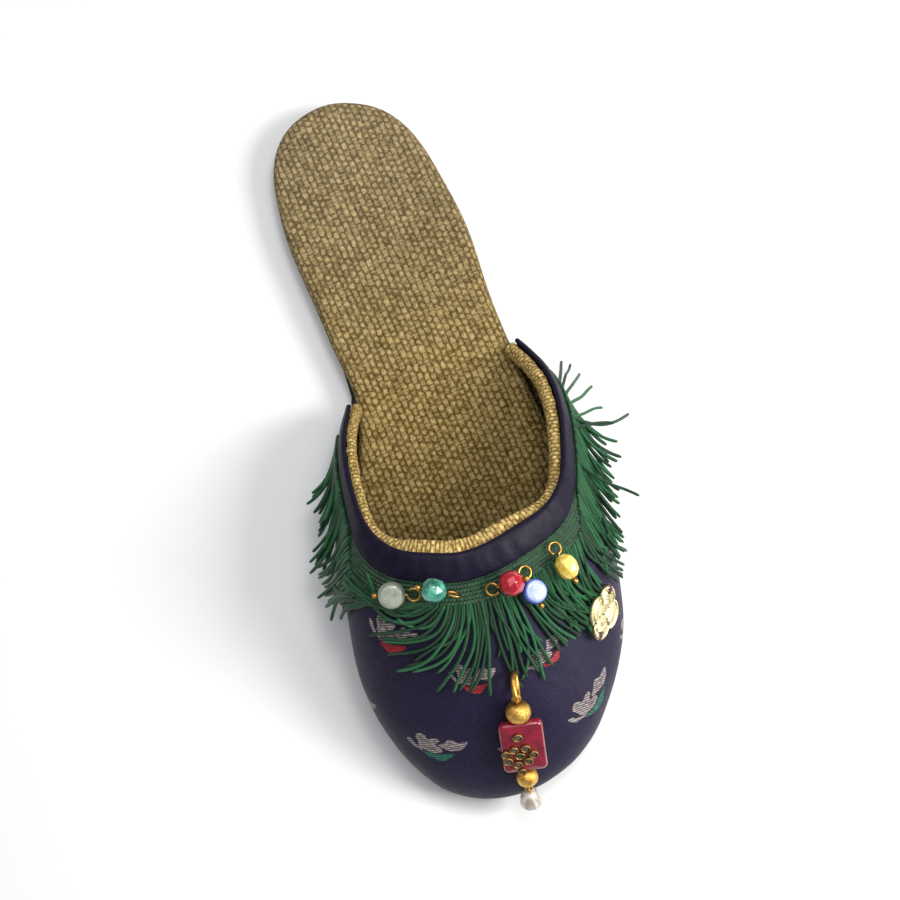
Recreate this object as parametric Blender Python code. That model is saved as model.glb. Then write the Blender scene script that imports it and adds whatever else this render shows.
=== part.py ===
"""Left babouche slipper: a backless mule with a closed vamp, a corded fringe, dangling beads
and a tile pendant.

Frame: metres, +Z up. The toe points to -Y, the heel to +Y, and +X is the lateral (outer) side.
Z 0 is the plane that the outsole stands on, and Y 0 is near the middle of the shoe.
Lengths are written in millimetres, and add_solid turns them into metres.
"""

import math

import bmesh
import bpy
import numpy as np

MM = 0.001
HEEL_Y = 132.0  # y of the insole's heel end: a place s behind the toe lies at y = HEEL_Y - s
GAP = 0.3  # between one curved piece and the next
WALL = 2.4  # brocade, padding and lining together
SOLE_THICK = 4.0
INSOLE_BASE = 4.3
INSOLE_TOP = 12.0
SPRING_START = 200.0  # the sole is flat from the heel to here
SPRING_RISE = 3.5  # how far the toe end stands off the floor

# Edge of the insole, once round: distance from the heel end, distance lateral of the axis.
INSOLE_EDGE = (
    ("heel end", 0.0, -4.0),
    ("heel, lateral", 3.0, 8.5),
    ("heel, lateral", 9.0, 17.5),
    ("heel, lateral", 20.0, 25.0),
    ("heel seat, lateral", 38.0, 31.0),
    ("arch, lateral", 60.0, 36.0),
    ("arch, lateral", 82.0, 37.8),
    ("wing end, lateral", 104.0, 40.8),
    ("waist, lateral", 120.0, 43.8),
    ("waist, lateral", 140.0, 48.0),
    ("ball, lateral", 165.0, 53.0),
    ("ball, lateral", 188.0, 55.0),
    ("toes, lateral", 208.0, 53.2),
    ("toes, lateral", 228.0, 47.0),
    ("toes, lateral", 245.0, 36.5),
    ("toe cap, lateral", 256.0, 21.5),
    ("toe end", 259.8, 4.5),
    ("toe cap, medial", 256.0, -10.5),
    ("toes, medial", 246.0, -21.0),
    ("toes, medial", 226.5, -29.0),
    ("ball, medial", 199.0, -32.0),
    ("ball, medial", 172.0, -29.5),
    ("arch, medial", 148.0, -25.0),
    ("arch, medial", 130.0, -21.0),
    ("wing end, medial", 114.0, -18.4),
    ("arch, medial", 95.0, -22.0),
    ("arch, medial", 75.0, -25.8),
    ("heel seat, medial", 52.0, -30.2),
    ("heel seat, medial", 34.0, -31.2),
    ("heel, medial", 18.0, -29.2),
    ("heel, medial", 7.0, -22.3),
    ("heel, medial", 2.0, -14.0),
)

# Upper edge of the vamp, from the end of the lateral wing over the throat to the medial wing.
COLLAR = (
    # distance from the heel end, distance lateral of the axis, height
    (106.0, 43.6, 13.0),
    (114.0, 47.5, 20.0),
    (125.0, 51.0, 28.0),
    (138.0, 51.5, 34.5),
    (153.0, 49.0, 41.0),
    (165.0, 44.8, 46.5),
    (173.0, 38.0, 50.5),
    (178.0, 27.5, 54.3),
    (182.0, 16.0, 57.0),
    (183.0, 4.5, 58.2),
    (181.0, -4.0, 57.8),
    (177.0, -14.0, 55.3),
    (168.5, -21.2, 50.8),
    (156.0, -24.4, 45.0),
    (143.0, -25.2, 39.0),
    (131.0, -24.3, 32.5),
    (122.0, -22.3, 23.5),
    (116.0, -21.2, 13.0),
)
LATERAL_WING_S = 106.0
MEDIAL_WING_S = 116.0
THROAT_PLACE = (6.0, HEEL_Y - 183.0)
TOE_PLACE = (7.5, HEEL_Y - 260.0)

# How the vamp rises from the sole to the collar. The place round the shoe is 0 at the toe and
# throat, and 1 at either wing end. Up and out shape the foot of the wall, reach and lean its
# top: lean is the angle from upright at which the wall meets the collar.
WALL_SHAPE = (
    # place, up, out, reach, lean in degrees
    (0.0, 9.0, 5.5, 58.0, 70.0),
    (0.12, 10.0, 5.5, 52.0, 68.0),
    (0.3, 12.5, 6.0, 36.0, 58.0),
    (0.5, 13.5, 6.0, 19.0, 27.0),
    (0.7, 12.0, 5.5, 12.0, 17.0),
    (0.88, 8.0, 3.0, 8.0, 11.0),
    (1.0, 3.0, 0.2, 3.0, 2.0),
)

WALL_COLUMNS = 49
WALL_ROWS = (0.0, 0.06, 0.13, 0.22, 0.33, 0.46, 0.6, 0.73, 0.85, 0.94, 1.0)

BINDING_WIDTH = 8.0
HEADER_TOP = 8.4  # distances from the collar edge
HEADER_BOTTOM = 16.8
HEADER_LIFT = 0.5
HEADER_THICK = 1.2
LOCKS = 60
LOCK_LONG = 30.0
BAIL_PLACE = -0.045  # the locks that would lie under the bail are shorter
FRINGE_END = 0.86  # place of the header's ends: the wings are too low beyond it

# Beads sewn to the header. Each pin's eye is on the header at a place round the shoe (negative
# is lateral) and a distance from the collar, and the pin turns from there by an angle in the
# plane of the cloth: 0 points to the medial side, 90 down the wall, 180 to the lateral side.
# A coin is a flat round bead pierced from edge to edge, and its half is half of its thickness.
# A round bead's half is half of its length on the wire.
BEADS = (
    # name, shape, loop, place, distance, pin angle, radius, half
    ("grey", "coin", "flat", 0.1397, 11.7, 2.7, 4.6, 2.4),
    ("teal", "round", "upright", 0.0257, 10.6, -20.4, 4.2, 4.0),
    ("red", "round", "flat", -0.0543, 12.4, 183.5, 4.4, 3.9),
    ("blue", "coin", "flat", -0.1398, 12.6, 86.2, 4.2, 2.3),
    ("yellow", "round", "flat", -0.2461, 11.2, 84.1, 3.9, 4.2),
)
COIN_END = 0.94  # share of a coin's radius at which its wire comes out
WIRE_RADIUS = 0.45
EYE_RADIUS = 2.1
BALL_RADIUS = 0.95
BORE_GAP = 0.1

# The bail is an oval link that stands off the vamp, sewn down at its upper end.
BAIL_TOP = np.array((15.0, -90.9, 42.65))
BAIL_WAY = np.array((-0.12, -0.96, 0.26))
BAIL_OUT = np.array((0.1, 0.26, 0.96))
BAIL_LONG = 4.6  # half of the link's length and half of its width, to the middle of the wire
BAIL_WIDE = 2.4
BAIL_WIRE = 0.75

# The pendant hangs from the bail on a straight core pin with an eye at each end.
CORE_WIRE = 0.36
CORE_TOP_EYE = 1.28  # round the bail
CORE_FOOT_EYE = 1.05  # linked with the eye of the pearl's pin, which is as large
PENDANT_WAY = np.array((-0.07, -0.8, -0.58))
PENDANT_FACE = np.array((-0.04, -0.35, 0.93))
PENDANT_LONG = 36.7  # from eye to eye
PEARL_WAY = np.array((0.0, -0.56, -0.83))

PEARL_SHAPE = (
    # place along the pearl from -1 at its upper end to 1, radius
    (-1.0, 1.5),
    (-0.7, 2.75),
    (-0.2, 3.55),
    (0.3, 3.8),
    (0.75, 2.95),
    (1.0, 1.5),
)

TILE_THICK = 4.0
TILE_HALF_WIDE = 7.6
SETTING_HIGH = 1.0
SETTING_SHIFT = 1.4  # the settings sit this far to the medial side of the tile's middle

METALS = {"gold": (0.83, 0.6, 0.25), "pale_gold": (0.78, 0.68, 0.45)}


# --- Lines and tables -----------------------------------------------------------------------


def second_derivatives(points, spans, closed):
    """Curvature of a cubic spline at each of its points."""
    count = len(points)
    system = np.zeros((count, count))
    known = np.zeros((count, points.shape[1]))
    for i in range(count):
        if not closed and i in (0, count - 1):
            system[i, i] = 1.0
            continue
        before = spans[i - 1]
        after = spans[i]
        following = (i + 1) % count
        system[i, i - 1] += before
        system[i, i] += 2.0 * (before + after)
        system[i, following] += after
        rise_after = (points[following] - points[i]) / after
        rise_before = (points[i] - points[i - 1]) / before
        known[i] = 6.0 * (rise_after - rise_before)
    return np.linalg.solve(system, known)


def spline(points, closed, power):
    """Smooth line through the points. Power spaces them: 1 by length, 0.5 keeps corners soft."""
    points = np.array(points, float)
    spans = np.linalg.norm(np.roll(points, -1, axis=0) - points, axis=1) ** power
    bend = second_derivatives(points, spans, closed)
    line = []
    for i in range(len(points) if closed else len(points) - 1):
        j = (i + 1) % len(points)
        h = spans[i]
        t = np.linspace(0.0, 1.0, 40, endpoint=False)[:, None] * h
        curve = bend[i] * (h - t) ** 3 / (6.0 * h) + bend[j] * t**3 / (6.0 * h)
        curve += (points[i] / h - bend[i] * h / 6.0) * (h - t)
        curve += (points[j] / h - bend[j] * h / 6.0) * t
        line.append(curve)
    line.append(points[:1] if closed else points[-1:])
    return np.vstack(line)


def lengths_along(line):
    steps = np.linalg.norm(np.diff(line[:, :3], axis=0), axis=1)
    return np.concatenate([[0.0], np.cumsum(steps)])


def pick(line, fractions):
    """Rows of the line at these fractions of its length."""
    run = lengths_along(line)
    columns = [np.interp(np.array(fractions) * run[-1], run, column) for column in line.T]
    return np.stack(columns, axis=1)


def from_table(x, table, column):
    """Smooth value of one column of a table whose first column rises."""
    xs = np.array([row[0] for row in table], float)
    ys = np.array([row[column] for row in table], float)
    x = np.clip(x, xs[0], xs[-1])
    spans = np.diff(xs)
    slopes = np.diff(ys) / spans
    turns = np.concatenate([slopes[:1], np.zeros(len(xs) - 2), slopes[-1:]])
    for i in range(1, len(xs) - 1):
        if slopes[i - 1] * slopes[i] > 0.0:
            turns[i] = 2.0 * slopes[i - 1] * slopes[i] / (slopes[i - 1] + slopes[i])
    i = np.clip(np.searchsorted(xs, x, side="right") - 1, 0, len(xs) - 2)
    h = spans[i]
    t = (x - xs[i]) / h
    start = ys[i] * (1.0 + 2.0 * t) * (1.0 - t) ** 2 + turns[i] * h * t * (1.0 - t) ** 2
    end = ys[i + 1] * t * t * (3.0 - 2.0 * t) + turns[i + 1] * h * t * t * (t - 1.0)
    return start + end


def unit(vector):
    return vector / np.linalg.norm(vector, axis=-1, keepdims=True)


def toe_spring(s):
    past = np.clip((s - SPRING_START) / (260.0 - SPRING_START), 0.0, None)
    return SPRING_RISE * past**2


# --- Outline of the sole --------------------------------------------------------------------


def outline():
    """Edge of the insole as x, y and the outward direction, from the heel end by the lateral side."""
    places = [(x, HEEL_Y - s) for _, s, x in INSOLE_EDGE]
    edge = spline(places, True, 0.5)
    edge = pick(edge, np.linspace(0.0, 1.0, 1441))
    along = np.gradient(edge, axis=0)
    along[0] = along[-1] = edge[1] - edge[-2]
    outward = unit(np.stack([-along[:, 1], along[:, 0]], axis=1))
    if (outward * (edge - edge.mean(axis=0))).sum() < 0.0:
        outward = -outward
    return np.hstack([edge, outward])


EDGE = outline()


def sole_ring(offset, stations):
    """Points of the edge moved outward by offset, as they lie at these fractions of its length.

    The lateral side comes first, heel to toe, then the medial side, toe to heel.
    """
    distance = offset(HEEL_Y - EDGE[:, 1]) if callable(offset) else offset
    moved = EDGE[:, :2] + EDGE[:, 2:] * np.reshape(distance, (-1, 1))
    s = HEEL_Y - moved[:, 1]
    toe = int(np.argmax(s))
    heel = int(np.argmin(s[: len(s) // 4]))
    last = len(s) * 3 // 4 + int(np.argmin(s[len(s) * 3 // 4 :]))
    heel_s = min(s[heel], s[last])
    ends = heel_s + 0.2, s[toe] - 0.2
    at = ends[0] + (ends[1] - ends[0]) * stations
    lateral = np.interp(at, s[heel : toe + 1], moved[heel : toe + 1, 0])
    medial = np.interp(at, s[toe : last + 1][::-1], moved[toe : last + 1, 0][::-1])
    ring = np.vstack(
        [np.stack([lateral, at], axis=1), np.stack([medial[::-1], at[::-1]], axis=1)]
    )
    return ring[:, 0], ring[:, 1]


def sole_loops(levels, count):
    """One loop of points for each (offset, height) level. A height may depend on the place."""
    stations = (1.0 - np.cos(np.linspace(0.0, math.pi, count))) / 2.0
    loops = []
    for offset, height in levels:
        x, s = sole_ring(offset, stations)
        level = height(s) if callable(height) else height
        loops.append(np.stack([x, HEEL_Y - s, level + toe_spring(s)], axis=1))
    return loops


# --- Surface of the vamp --------------------------------------------------------------------


def half_line(line, start, end, fractions):
    return pick(line[start : end + 1], fractions)


def nearest(line, place):
    return int(np.argmin(np.linalg.norm(line[:, : len(place)] - np.array(place), axis=1)))


def wall_controls():
    """Control points of the wall's curves, collar to sole, at even places from -1 to 1."""
    count = 120
    foot = np.hstack([EDGE[:, :2] + (GAP + WALL) * EDGE[:, 2:], EDGE[:, 2:]])
    s = HEEL_Y - EDGE[:, 1]
    lateral_end = int(np.argmin(np.abs(s - LATERAL_WING_S) + 1000.0 * (EDGE[:, 0] < 0.0)))
    medial_end = int(np.argmin(np.abs(s - MEDIAL_WING_S) + 1000.0 * (EDGE[:, 0] > 0.0)))
    toe = nearest(foot, TOE_PLACE)
    collar = spline([(x, HEEL_Y - s, z) for s, x, z in COLLAR], False, 1.0)
    collar = pick(collar, np.linspace(0.0, 1.0, 801))
    along = unit(np.gradient(collar, axis=0))
    inward = unit(np.stack([along[:, 1], -along[:, 0]], axis=1))
    throat = nearest(collar, THROAT_PLACE)
    if inward[throat, 1] < 0.0:
        inward = -inward
    collar = np.hstack([collar, along, inward])

    first = np.linspace(0.0, 1.0, count + 1)
    second = first[1:]
    foot = np.vstack([half_line(foot, lateral_end, toe, first), half_line(foot, toe, medial_end, second)])
    collar = np.vstack([half_line(collar, 0, throat, first), half_line(collar, throat, 800, second)])
    place = np.linspace(-1.0, 1.0, 2 * count + 1)

    up, out, reach, lean = [from_table(np.abs(place), WALL_SHAPE, k)[:, None] for k in (1, 2, 3, 4)]
    lean = np.radians(lean)
    outward = unit(foot[:, 2:4])
    bottom_height = SOLE_THICK + GAP + toe_spring(HEEL_Y - foot[:, 1])
    bottom = np.hstack([foot[:, :2], bottom_height[:, None]])
    above_bottom = bottom + np.hstack([outward * out, up])
    rising = np.hstack([unit(collar[:, 6:8]) * np.sin(lean), np.cos(lean)])
    along = collar[:, 3:6]
    rising -= 0.7 * (rising * along).sum(axis=1, keepdims=True) * along
    top = collar[:, :3]
    below_top = top - unit(rising) * reach
    return place, np.stack([top, below_top, above_bottom, bottom], axis=1)


PLACES, CONTROLS = wall_controls()
CURVE_STEPS = np.linspace(0.0, 1.0, 97)


def wall_curve(place):
    """Points down the outside of the wall at this place, and how far each is from the collar."""
    controls = CONTROLS.reshape(len(PLACES), 12)
    here = np.array([np.interp(place, PLACES, column) for column in controls.T]).reshape(4, 3)
    t = CURVE_STEPS[:, None]
    curve = (1.0 - t) ** 3 * here[0] + 3.0 * (1.0 - t) ** 2 * t * here[1]
    curve += 3.0 * (1.0 - t) * t**2 * here[2] + t**3 * here[3]
    return curve, lengths_along(curve)


def wall_length(place):
    return wall_curve(place)[1][-1]


def wall_point(place, distance):
    curve, run = wall_curve(place)
    return np.array([np.interp(distance, run, column) for column in curve.T])


def wall_frame(place, distance):
    """Point on the wall, then directions to the medial side, down the wall and out of it."""
    point = wall_point(place, distance)
    step = 0.012
    across = wall_point(min(place + step, 1.0), distance) - wall_point(max(place - step, -1.0), distance)
    end = wall_length(place)
    down = wall_point(place, min(distance + 0.6, end)) - wall_point(place, max(distance - 0.6, 0.0))
    down = unit(down)
    out = unit(np.cross(unit(across), down))
    return point, np.cross(down, out), down, out


# --- Making meshes --------------------------------------------------------------------------


def bridge(loops, cyclic):
    """Quads between each loop of points and the next."""
    size = len(loops[0])
    faces = []
    pairs = len(loops) if cyclic else len(loops) - 1
    for i in range(pairs):
        here = i * size
        there = ((i + 1) % len(loops)) * size
        for k in range(size):
            after = (k + 1) % size
            faces.append((here + k, here + after, there + after, there + k))
    return faces


def ladder(start, size):
    """Quads that close a loop whose second half runs back beside its first."""
    last = size - 1
    steps = range(size // 2 - 1)
    return [(start + k, start + last - k, start + last - k - 1, start + k + 1) for k in steps]


def lofted(loops, cap):
    """Closed solid through the loops. Cap is "ladder", "face" or "ring" for one that meets itself."""
    size = len(loops[0])
    faces = bridge(loops, cap == "ring")
    first = 0
    last = (len(loops) - 1) * size
    if cap == "ladder":
        faces += ladder(first, size)
        faces += [face[::-1] for face in ladder(last, size)]
    elif cap == "face":
        faces.append(tuple(range(first, first + size))[::-1])
        faces.append(tuple(range(last, last + size)))
    return np.vstack(loops), faces


def volume(points, faces):
    total = 0.0
    for face in faces:
        corners = points[list(face)]
        for k in range(1, len(corners) - 1):
            total += np.dot(corners[0], np.cross(corners[k], corners[k + 1])) / 6.0
    return total


def material(name, colour, rough, metal):
    made = bpy.data.materials.new(name)
    made.use_nodes = True
    shader = made.node_tree.nodes["Principled BSDF"]
    shader.inputs["Base Color"].default_value = (*colour, 1.0)
    shader.inputs["Roughness"].default_value = rough
    shader.inputs["Metallic"].default_value = metal
    return made


def add_solid(name, solid, surface, round_shape=True):
    """Adds one node, its faces turned outward, from (points, faces) in millimetres."""
    points, faces = solid
    if volume(points, faces) < 0.0:
        faces = [face[::-1] for face in faces]
    mesh = bpy.data.meshes.new(name)
    mesh.from_pydata((points * MM).tolist(), [], faces)
    mesh.validate()
    shell = bmesh.new()
    shell.from_mesh(mesh)
    bmesh.ops.recalc_face_normals(shell, faces=shell.faces)
    shell.to_mesh(mesh)
    shell.free()
    mesh.materials.append(surface)
    if round_shape:
        mesh.shade_smooth()
        mesh.set_sharp_from_angle(angle=math.radians(42.0))
    node = bpy.data.objects.new(name, mesh)
    bpy.context.scene.collection.objects.link(node)
    return node


def frame_along(direction, side):
    """Two directions that make a right-handed set with this one, the first nearest to side."""
    direction = unit(direction)
    first = unit(side - np.dot(side, direction) * direction)
    return first, np.cross(direction, first)


def tube(path, radii, side, sides):
    """Closed tube along the path, with a radius at each of its points."""
    tangents = unit(np.gradient(path, axis=0))
    loops = []
    first = side
    for point, radius, tangent in zip(path, radii, tangents):
        first, second = frame_along(tangent, first)
        turns = np.arange(sides) * 2.0 * math.pi / sides
        rim = np.cos(turns)[:, None] * first + np.sin(turns)[:, None] * second
        loops.append(point + radius * rim)
    return lofted(loops, "face")


def bored(centre, direction, side, sections, bore):
    """Solid with a round bore for its wire. Sections are (place along the wire, points of the rim)."""
    first, second = frame_along(direction, side)
    direction = unit(direction)
    count = len(sections[0][1])
    turns = np.arange(count) * 2.0 * math.pi / count + math.pi / count
    hole = bore * np.stack([np.cos(turns), np.sin(turns)], axis=1)
    rims = [(sections[0][0], hole), *sections, (sections[-1][0], hole)]
    loops = []
    for place, rim in rims:
        flat = rim[:, :1] * first + rim[:, 1:] * second
        loops.append(centre + place * direction + flat)
    return lofted(loops, "ring")


def round_sections(radius, half_length, end_radius, count, steps):
    """Rims of a rounded bead, fullest at its middle."""
    turns = np.arange(count) * 2.0 * math.pi / count + math.pi / count
    ring = np.stack([np.cos(turns), np.sin(turns)], axis=1)
    sections = []
    for t in np.linspace(-1.0, 1.0, steps):
        size = end_radius + (radius - end_radius) * (1.0 - abs(t) ** 2.4) ** 0.5
        sections.append((t * half_length, size * ring))
    return sections


def headpin(eye, direction, side, ball_at, eye_radius, wire=WIRE_RADIUS):
    """Wire with a ball at its far end, straight to the eye, and bent round it in a loop.

    The loop lies in the plane of direction and side.
    """
    direction = unit(direction)
    loop_side, _ = frame_along(direction, side)
    path = []
    radii = []
    for step in (-1.0, -0.8, 0.0, 0.75):
        path.append(eye + direction * (ball_at + BALL_RADIUS * -step))
        radii.append(max(0.3 * BALL_RADIUS, BALL_RADIUS * math.sqrt(1.0 - min(0.96, step**2))))
    for place in (ball_at - 1.2 * BALL_RADIUS, eye_radius + 0.5):
        path.append(eye + direction * place)
        radii.append(wire)
    for turn in np.linspace(0.0, math.radians(306.0), 13):
        path.append(eye + eye_radius * (math.cos(turn) * direction + math.sin(turn) * loop_side))
        radii.append(wire)
    return tube(np.array(path), radii, np.cross(direction, loop_side), 6)


# --- The shoe -------------------------------------------------------------------------------


def outsole():
    """Thin flat sole, flush with the vamp in front and just inside the insole at the heel."""

    def margin(s):
        forward = np.clip((s - 101.0) / 18.0, 0.0, 1.0)
        return -0.6 + 3.6 * forward * forward * (3.0 - 2.0 * forward)

    levels = (
        (lambda s: margin(s) - 1.1, 0.0),
        (lambda s: margin(s) - 0.2, 0.7),
        (margin, 1.6),
        (margin, 3.4),
        (lambda s: margin(s) - 0.3, SOLE_THICK),
    )
    return lofted(sole_loops(levels, 30), "ladder")


def insole():
    """Padded board with a rounded, wrapped edge, thinner under the toes."""

    def padding(share):
        def height(s):
            forward = np.clip((s - 205.0) / 50.0, 0.0, 1.0)
            thick = INSOLE_TOP - INSOLE_BASE - 3.6 * forward * forward * (3.0 - 2.0 * forward)
            return INSOLE_BASE + share * thick

        return height

    levels = (
        (-1.2, INSOLE_BASE),
        (-0.35, padding(0.17)),
        (-0.35, padding(0.62)),
        (-1.2, padding(0.86)),
        (-3.0, padding(1.0)),
    )
    return lofted(sole_loops(levels, 30), "ladder")


def upper():
    """Vamp and wings: one wall, open at the collar and below."""
    loops = []
    for place in np.linspace(-1.0, 1.0, WALL_COLUMNS):
        length = wall_length(place)
        outer = []
        inner = []
        for row in WALL_ROWS:
            point, _, _, out = wall_frame(place, row * length)
            if row == 1.0:
                out = unit(np.array((out[0], out[1], 0.0)))
            outer.append(point)
            inner.append(point - WALL * out)
        loops.append(np.array(outer + inner[::-1]))
    return lofted(loops, "ladder")


# Section of the binding. Down is the distance from the collar edge, out the height off the
# cloth and over the height above the collar edge.
BINDING_OUTSIDE = (
    # down, out, over
    (BINDING_WIDTH, 1.3, 0.0),
    (5.0, 1.6, 0.0),
    (1.6, 1.6, 0.0),
    (0.0, 1.4, 0.9),
    (0.0, 0.2, 1.8),
    (0.0, -WALL, 1.3),
)
BINDING_INSIDE = (
    (BINDING_WIDTH, 0.45, 0.0),
    (5.0, 0.45, 0.0),
    (1.6, 0.45, 0.0),
    (0.0, 0.4, 0.4),
    (0.0, -0.4, 0.4),
    (0.0, -WALL, 0.4),
)


def collar_binding():
    """Satin strip along the collar, turned over its edge."""
    loops = []
    for place in np.linspace(-1.0, 1.0, WALL_COLUMNS):
        loop = []
        for down, out, over in BINDING_OUTSIDE + BINDING_INSIDE[::-1]:
            point, _, along_wall, off = wall_frame(place, down)
            loop.append(point + out * off - over * along_wall)
        loops.append(np.array(loop))
    return lofted(loops, "ladder")


def lock_line(place, sideways):
    """Middle of one lock of the fringe, from the header down, with the directions at each point."""
    wall_left = wall_length(place) - HEADER_BOTTOM - 2.2
    longest = LOCK_LONG if abs(place - BAIL_PLACE) > 0.035 else LOCK_LONG - 7.0
    length = min(longest, wall_left)
    low = 1.0 - min(1.0, max(0.0, (wall_left - 24.0) / 26.0))
    line = []
    for t in (0.0, 0.22, 0.5, 0.78, 1.0):
        drift = sideways * t * t
        point, across, _, out = wall_frame(np.clip(place + drift, -0.97, 0.97), HEADER_BOTTOM + t * length)
        lift = HEADER_LIFT + HEADER_THICK / 2.0 + (0.9 + 5.0 * low) * t**1.6
        line.append((point + lift * out, across, out))
    return line


def fringe():
    """Header tape with a row of locks fused to its lower edge."""
    pitch = 2.0 * FRINGE_END / LOCKS
    columns = []
    for lock in range(LOCKS):
        start = -FRINGE_END + lock * pitch
        columns += [start + 0.12 * pitch, start + 0.88 * pitch]
    points = []
    for place in columns:
        for distance in (HEADER_TOP, HEADER_BOTTOM):
            point, _, _, out = wall_frame(place, distance)
            points += [point + HEADER_LIFT * out, point + (HEADER_LIFT + HEADER_THICK) * out]
    faces = []
    for i in range(len(columns) - 1):
        here = 4 * i
        there = here + 4
        faces.append((here + 1, there + 1, there + 3, here + 3))
        faces.append((here, here + 2, there + 2, there))
        faces.append((here, there, there + 1, here + 1))
        if i % 2 == 1:
            faces.append((here + 2, here + 3, there + 3, there + 2))
    end = 4 * (len(columns) - 1)
    faces.append((0, 1, 3, 2))
    faces.append((end, end + 2, end + 3, end + 1))
    for lock in range(LOCKS):
        place = -FRINGE_END + (lock + 0.5) * pitch
        sideways = 0.05 if 0.02 < place < 0.5 else 0.0
        ring = [8 * lock + 2, 8 * lock + 3, 8 * lock + 7, 8 * lock + 6]
        root = np.linalg.norm(points[ring[0]] - points[ring[3]])
        for step, (middle, across, out) in enumerate(lock_line(place, sideways)[1:]):
            half_wide = root / 2.0 * (1.0, 0.95, 0.8, 0.45)[step]
            half_thick = HEADER_THICK / 2.0 * (1.0, 0.95, 0.85, 0.6)[step]
            first = len(points)
            points += [
                middle - half_wide * across - half_thick * out,
                middle - half_wide * across + half_thick * out,
                middle + half_wide * across + half_thick * out,
                middle + half_wide * across - half_thick * out,
            ]
            following = [first, first + 1, first + 2, first + 3]
            for k in range(4):
                after = (k + 1) % 4
                faces.append((ring[k], ring[after], following[after], following[k]))
            ring = following
        faces.append(tuple(ring[::-1]))
    return np.array(points), faces


def charm():
    """Flat cloud-shaped charm on the lateral side, with a hole at each end for its stitches."""
    point, across, down, out = wall_frame(-0.281, 41.4)
    long_way = unit(wall_point(-0.246, 47.7) - wall_point(-0.316, 35.7))
    long_way = unit(long_way - np.dot(long_way, out) * out)
    wide_way = np.cross(out, long_way)
    centre = point + 3.5 * out
    turns = np.linspace(0.0, 2.0 * math.pi, 40, endpoint=False)
    radius = 0.74 + 0.3 * np.abs(np.cos(2.0 * turns)) ** 0.55
    rim = np.stack([9.2 * radius * np.cos(turns), 6.0 * radius * np.sin(turns)], axis=1)
    loops = []
    for size, height in ((0.94, -0.7), (1.0, -0.35), (1.0, 0.35), (0.94, 0.7)):
        flat = size * rim
        loops.append(centre + flat[:, :1] * long_way + flat[:, 1:] * wide_way + height * out)
    return lofted(loops, "face"), centre, long_way, out


def charm_holes(node, centre, long_way, out):
    first, second = frame_along(out, long_way)
    for number, end in enumerate((-1.0, 1.0)):
        turns = np.arange(12) * math.pi / 6.0
        rim = 0.75 * (np.cos(turns)[:, None] * first + np.sin(turns)[:, None] * second)
        middle = centre + end * 7.4 * long_way
        cutter = add_solid(
            f"charm_cutter_{number}",
            lofted([middle - 2.0 * out + rim, middle + 2.0 * out + rim], "face"),
            node.data.materials[0],
        )
        cutter.hide_render = True
        cutter.display_type = "WIRE"
        cut = node.modifiers.new(f"hole {number}", "BOOLEAN")
        cut.operation = "DIFFERENCE"
        cut.solver = "EXACT"
        cut.object = cutter


def nearest_wall(point, place, distance):
    """How far the point is from the wall near this place."""
    near = [
        wall_point(place + step, distance + far)
        for step in np.linspace(-0.12, 0.12, 17)
        for far in np.linspace(-8.0, 14.0, 23)
    ]
    return np.linalg.norm(np.array(near) - point, axis=1).min()


def coin_sections(radius, half_thick):
    """Rims of a flat round bead, from edge to edge along the diameter that its wire runs on."""
    sections = []
    for t in np.linspace(-COIN_END, COIN_END, 8):
        chord = math.sqrt(1.0 - t * t)
        thick = half_thick * (0.45 + 0.55 * chord)
        sections.append((t * radius, tile_rim(chord * radius, thick, 0.7 * min(chord * radius, thick))))
    return sections


def bead_and_pin(shape, loop, place, distance, angle, radius, half):
    """One bead on its headpin, its eye on the header and the bead resting on the fringe."""
    point, across, down, out = wall_frame(place, distance)
    turn = math.radians(angle)
    flat = math.cos(turn) * across + math.sin(turn) * down
    cloth = HEADER_LIFT + HEADER_THICK + 0.35
    half_length = COIN_END * radius if shape == "coin" else half
    standing = half if shape == "coin" else radius
    along = EYE_RADIUS + WIRE_RADIUS + 0.4 + half_length
    for tilt in np.radians(np.arange(0.0, 60.0)):
        direction = math.cos(tilt) * flat + math.sin(tilt) * out
        reach = 1.0 if loop == "upright" else math.sin(tilt)
        eye_lift = cloth + WIRE_RADIUS + (EYE_RADIUS + WIRE_RADIUS) * reach
        eye = point + eye_lift * out
        if nearest_wall(eye + along * direction, place, distance) > standing + cloth + 0.3:
            break
    centre = eye + along * direction
    ball_at = along + half_length + 0.3 + BALL_RADIUS
    across_pin = np.cross(out, direction)
    loop_way = out if loop == "upright" else across_pin
    pin = headpin(eye, direction, loop_way, ball_at, EYE_RADIUS)
    bore = WIRE_RADIUS + BORE_GAP
    if shape == "coin":
        bead = bored(centre, direction, across_pin, coin_sections(radius, half), bore)
    else:
        sections = round_sections(radius, half_length, radius * 0.45, 10, 6)
        bead = bored(centre, direction, out, sections, bore)
    return bead, pin


def ring_link(centre, long_way, wide_way, half_long, half_wide, wire):
    """Oval link."""
    turns = np.linspace(0.0, 2.0 * math.pi, 18, endpoint=False)
    loops = []
    for turn in turns:
        spoke = math.cos(turn) * half_long * long_way + math.sin(turn) * half_wide * wide_way
        outward = unit(math.cos(turn) * half_wide * long_way + math.sin(turn) * half_long * wide_way)
        flat = unit(np.cross(long_way, wide_way))
        angles = np.arange(6) * math.pi / 3.0
        rim = np.cos(angles)[:, None] * outward + np.sin(angles)[:, None] * flat
        loops.append(centre + spoke + wire * rim)
    return lofted(loops, "ring")


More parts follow.
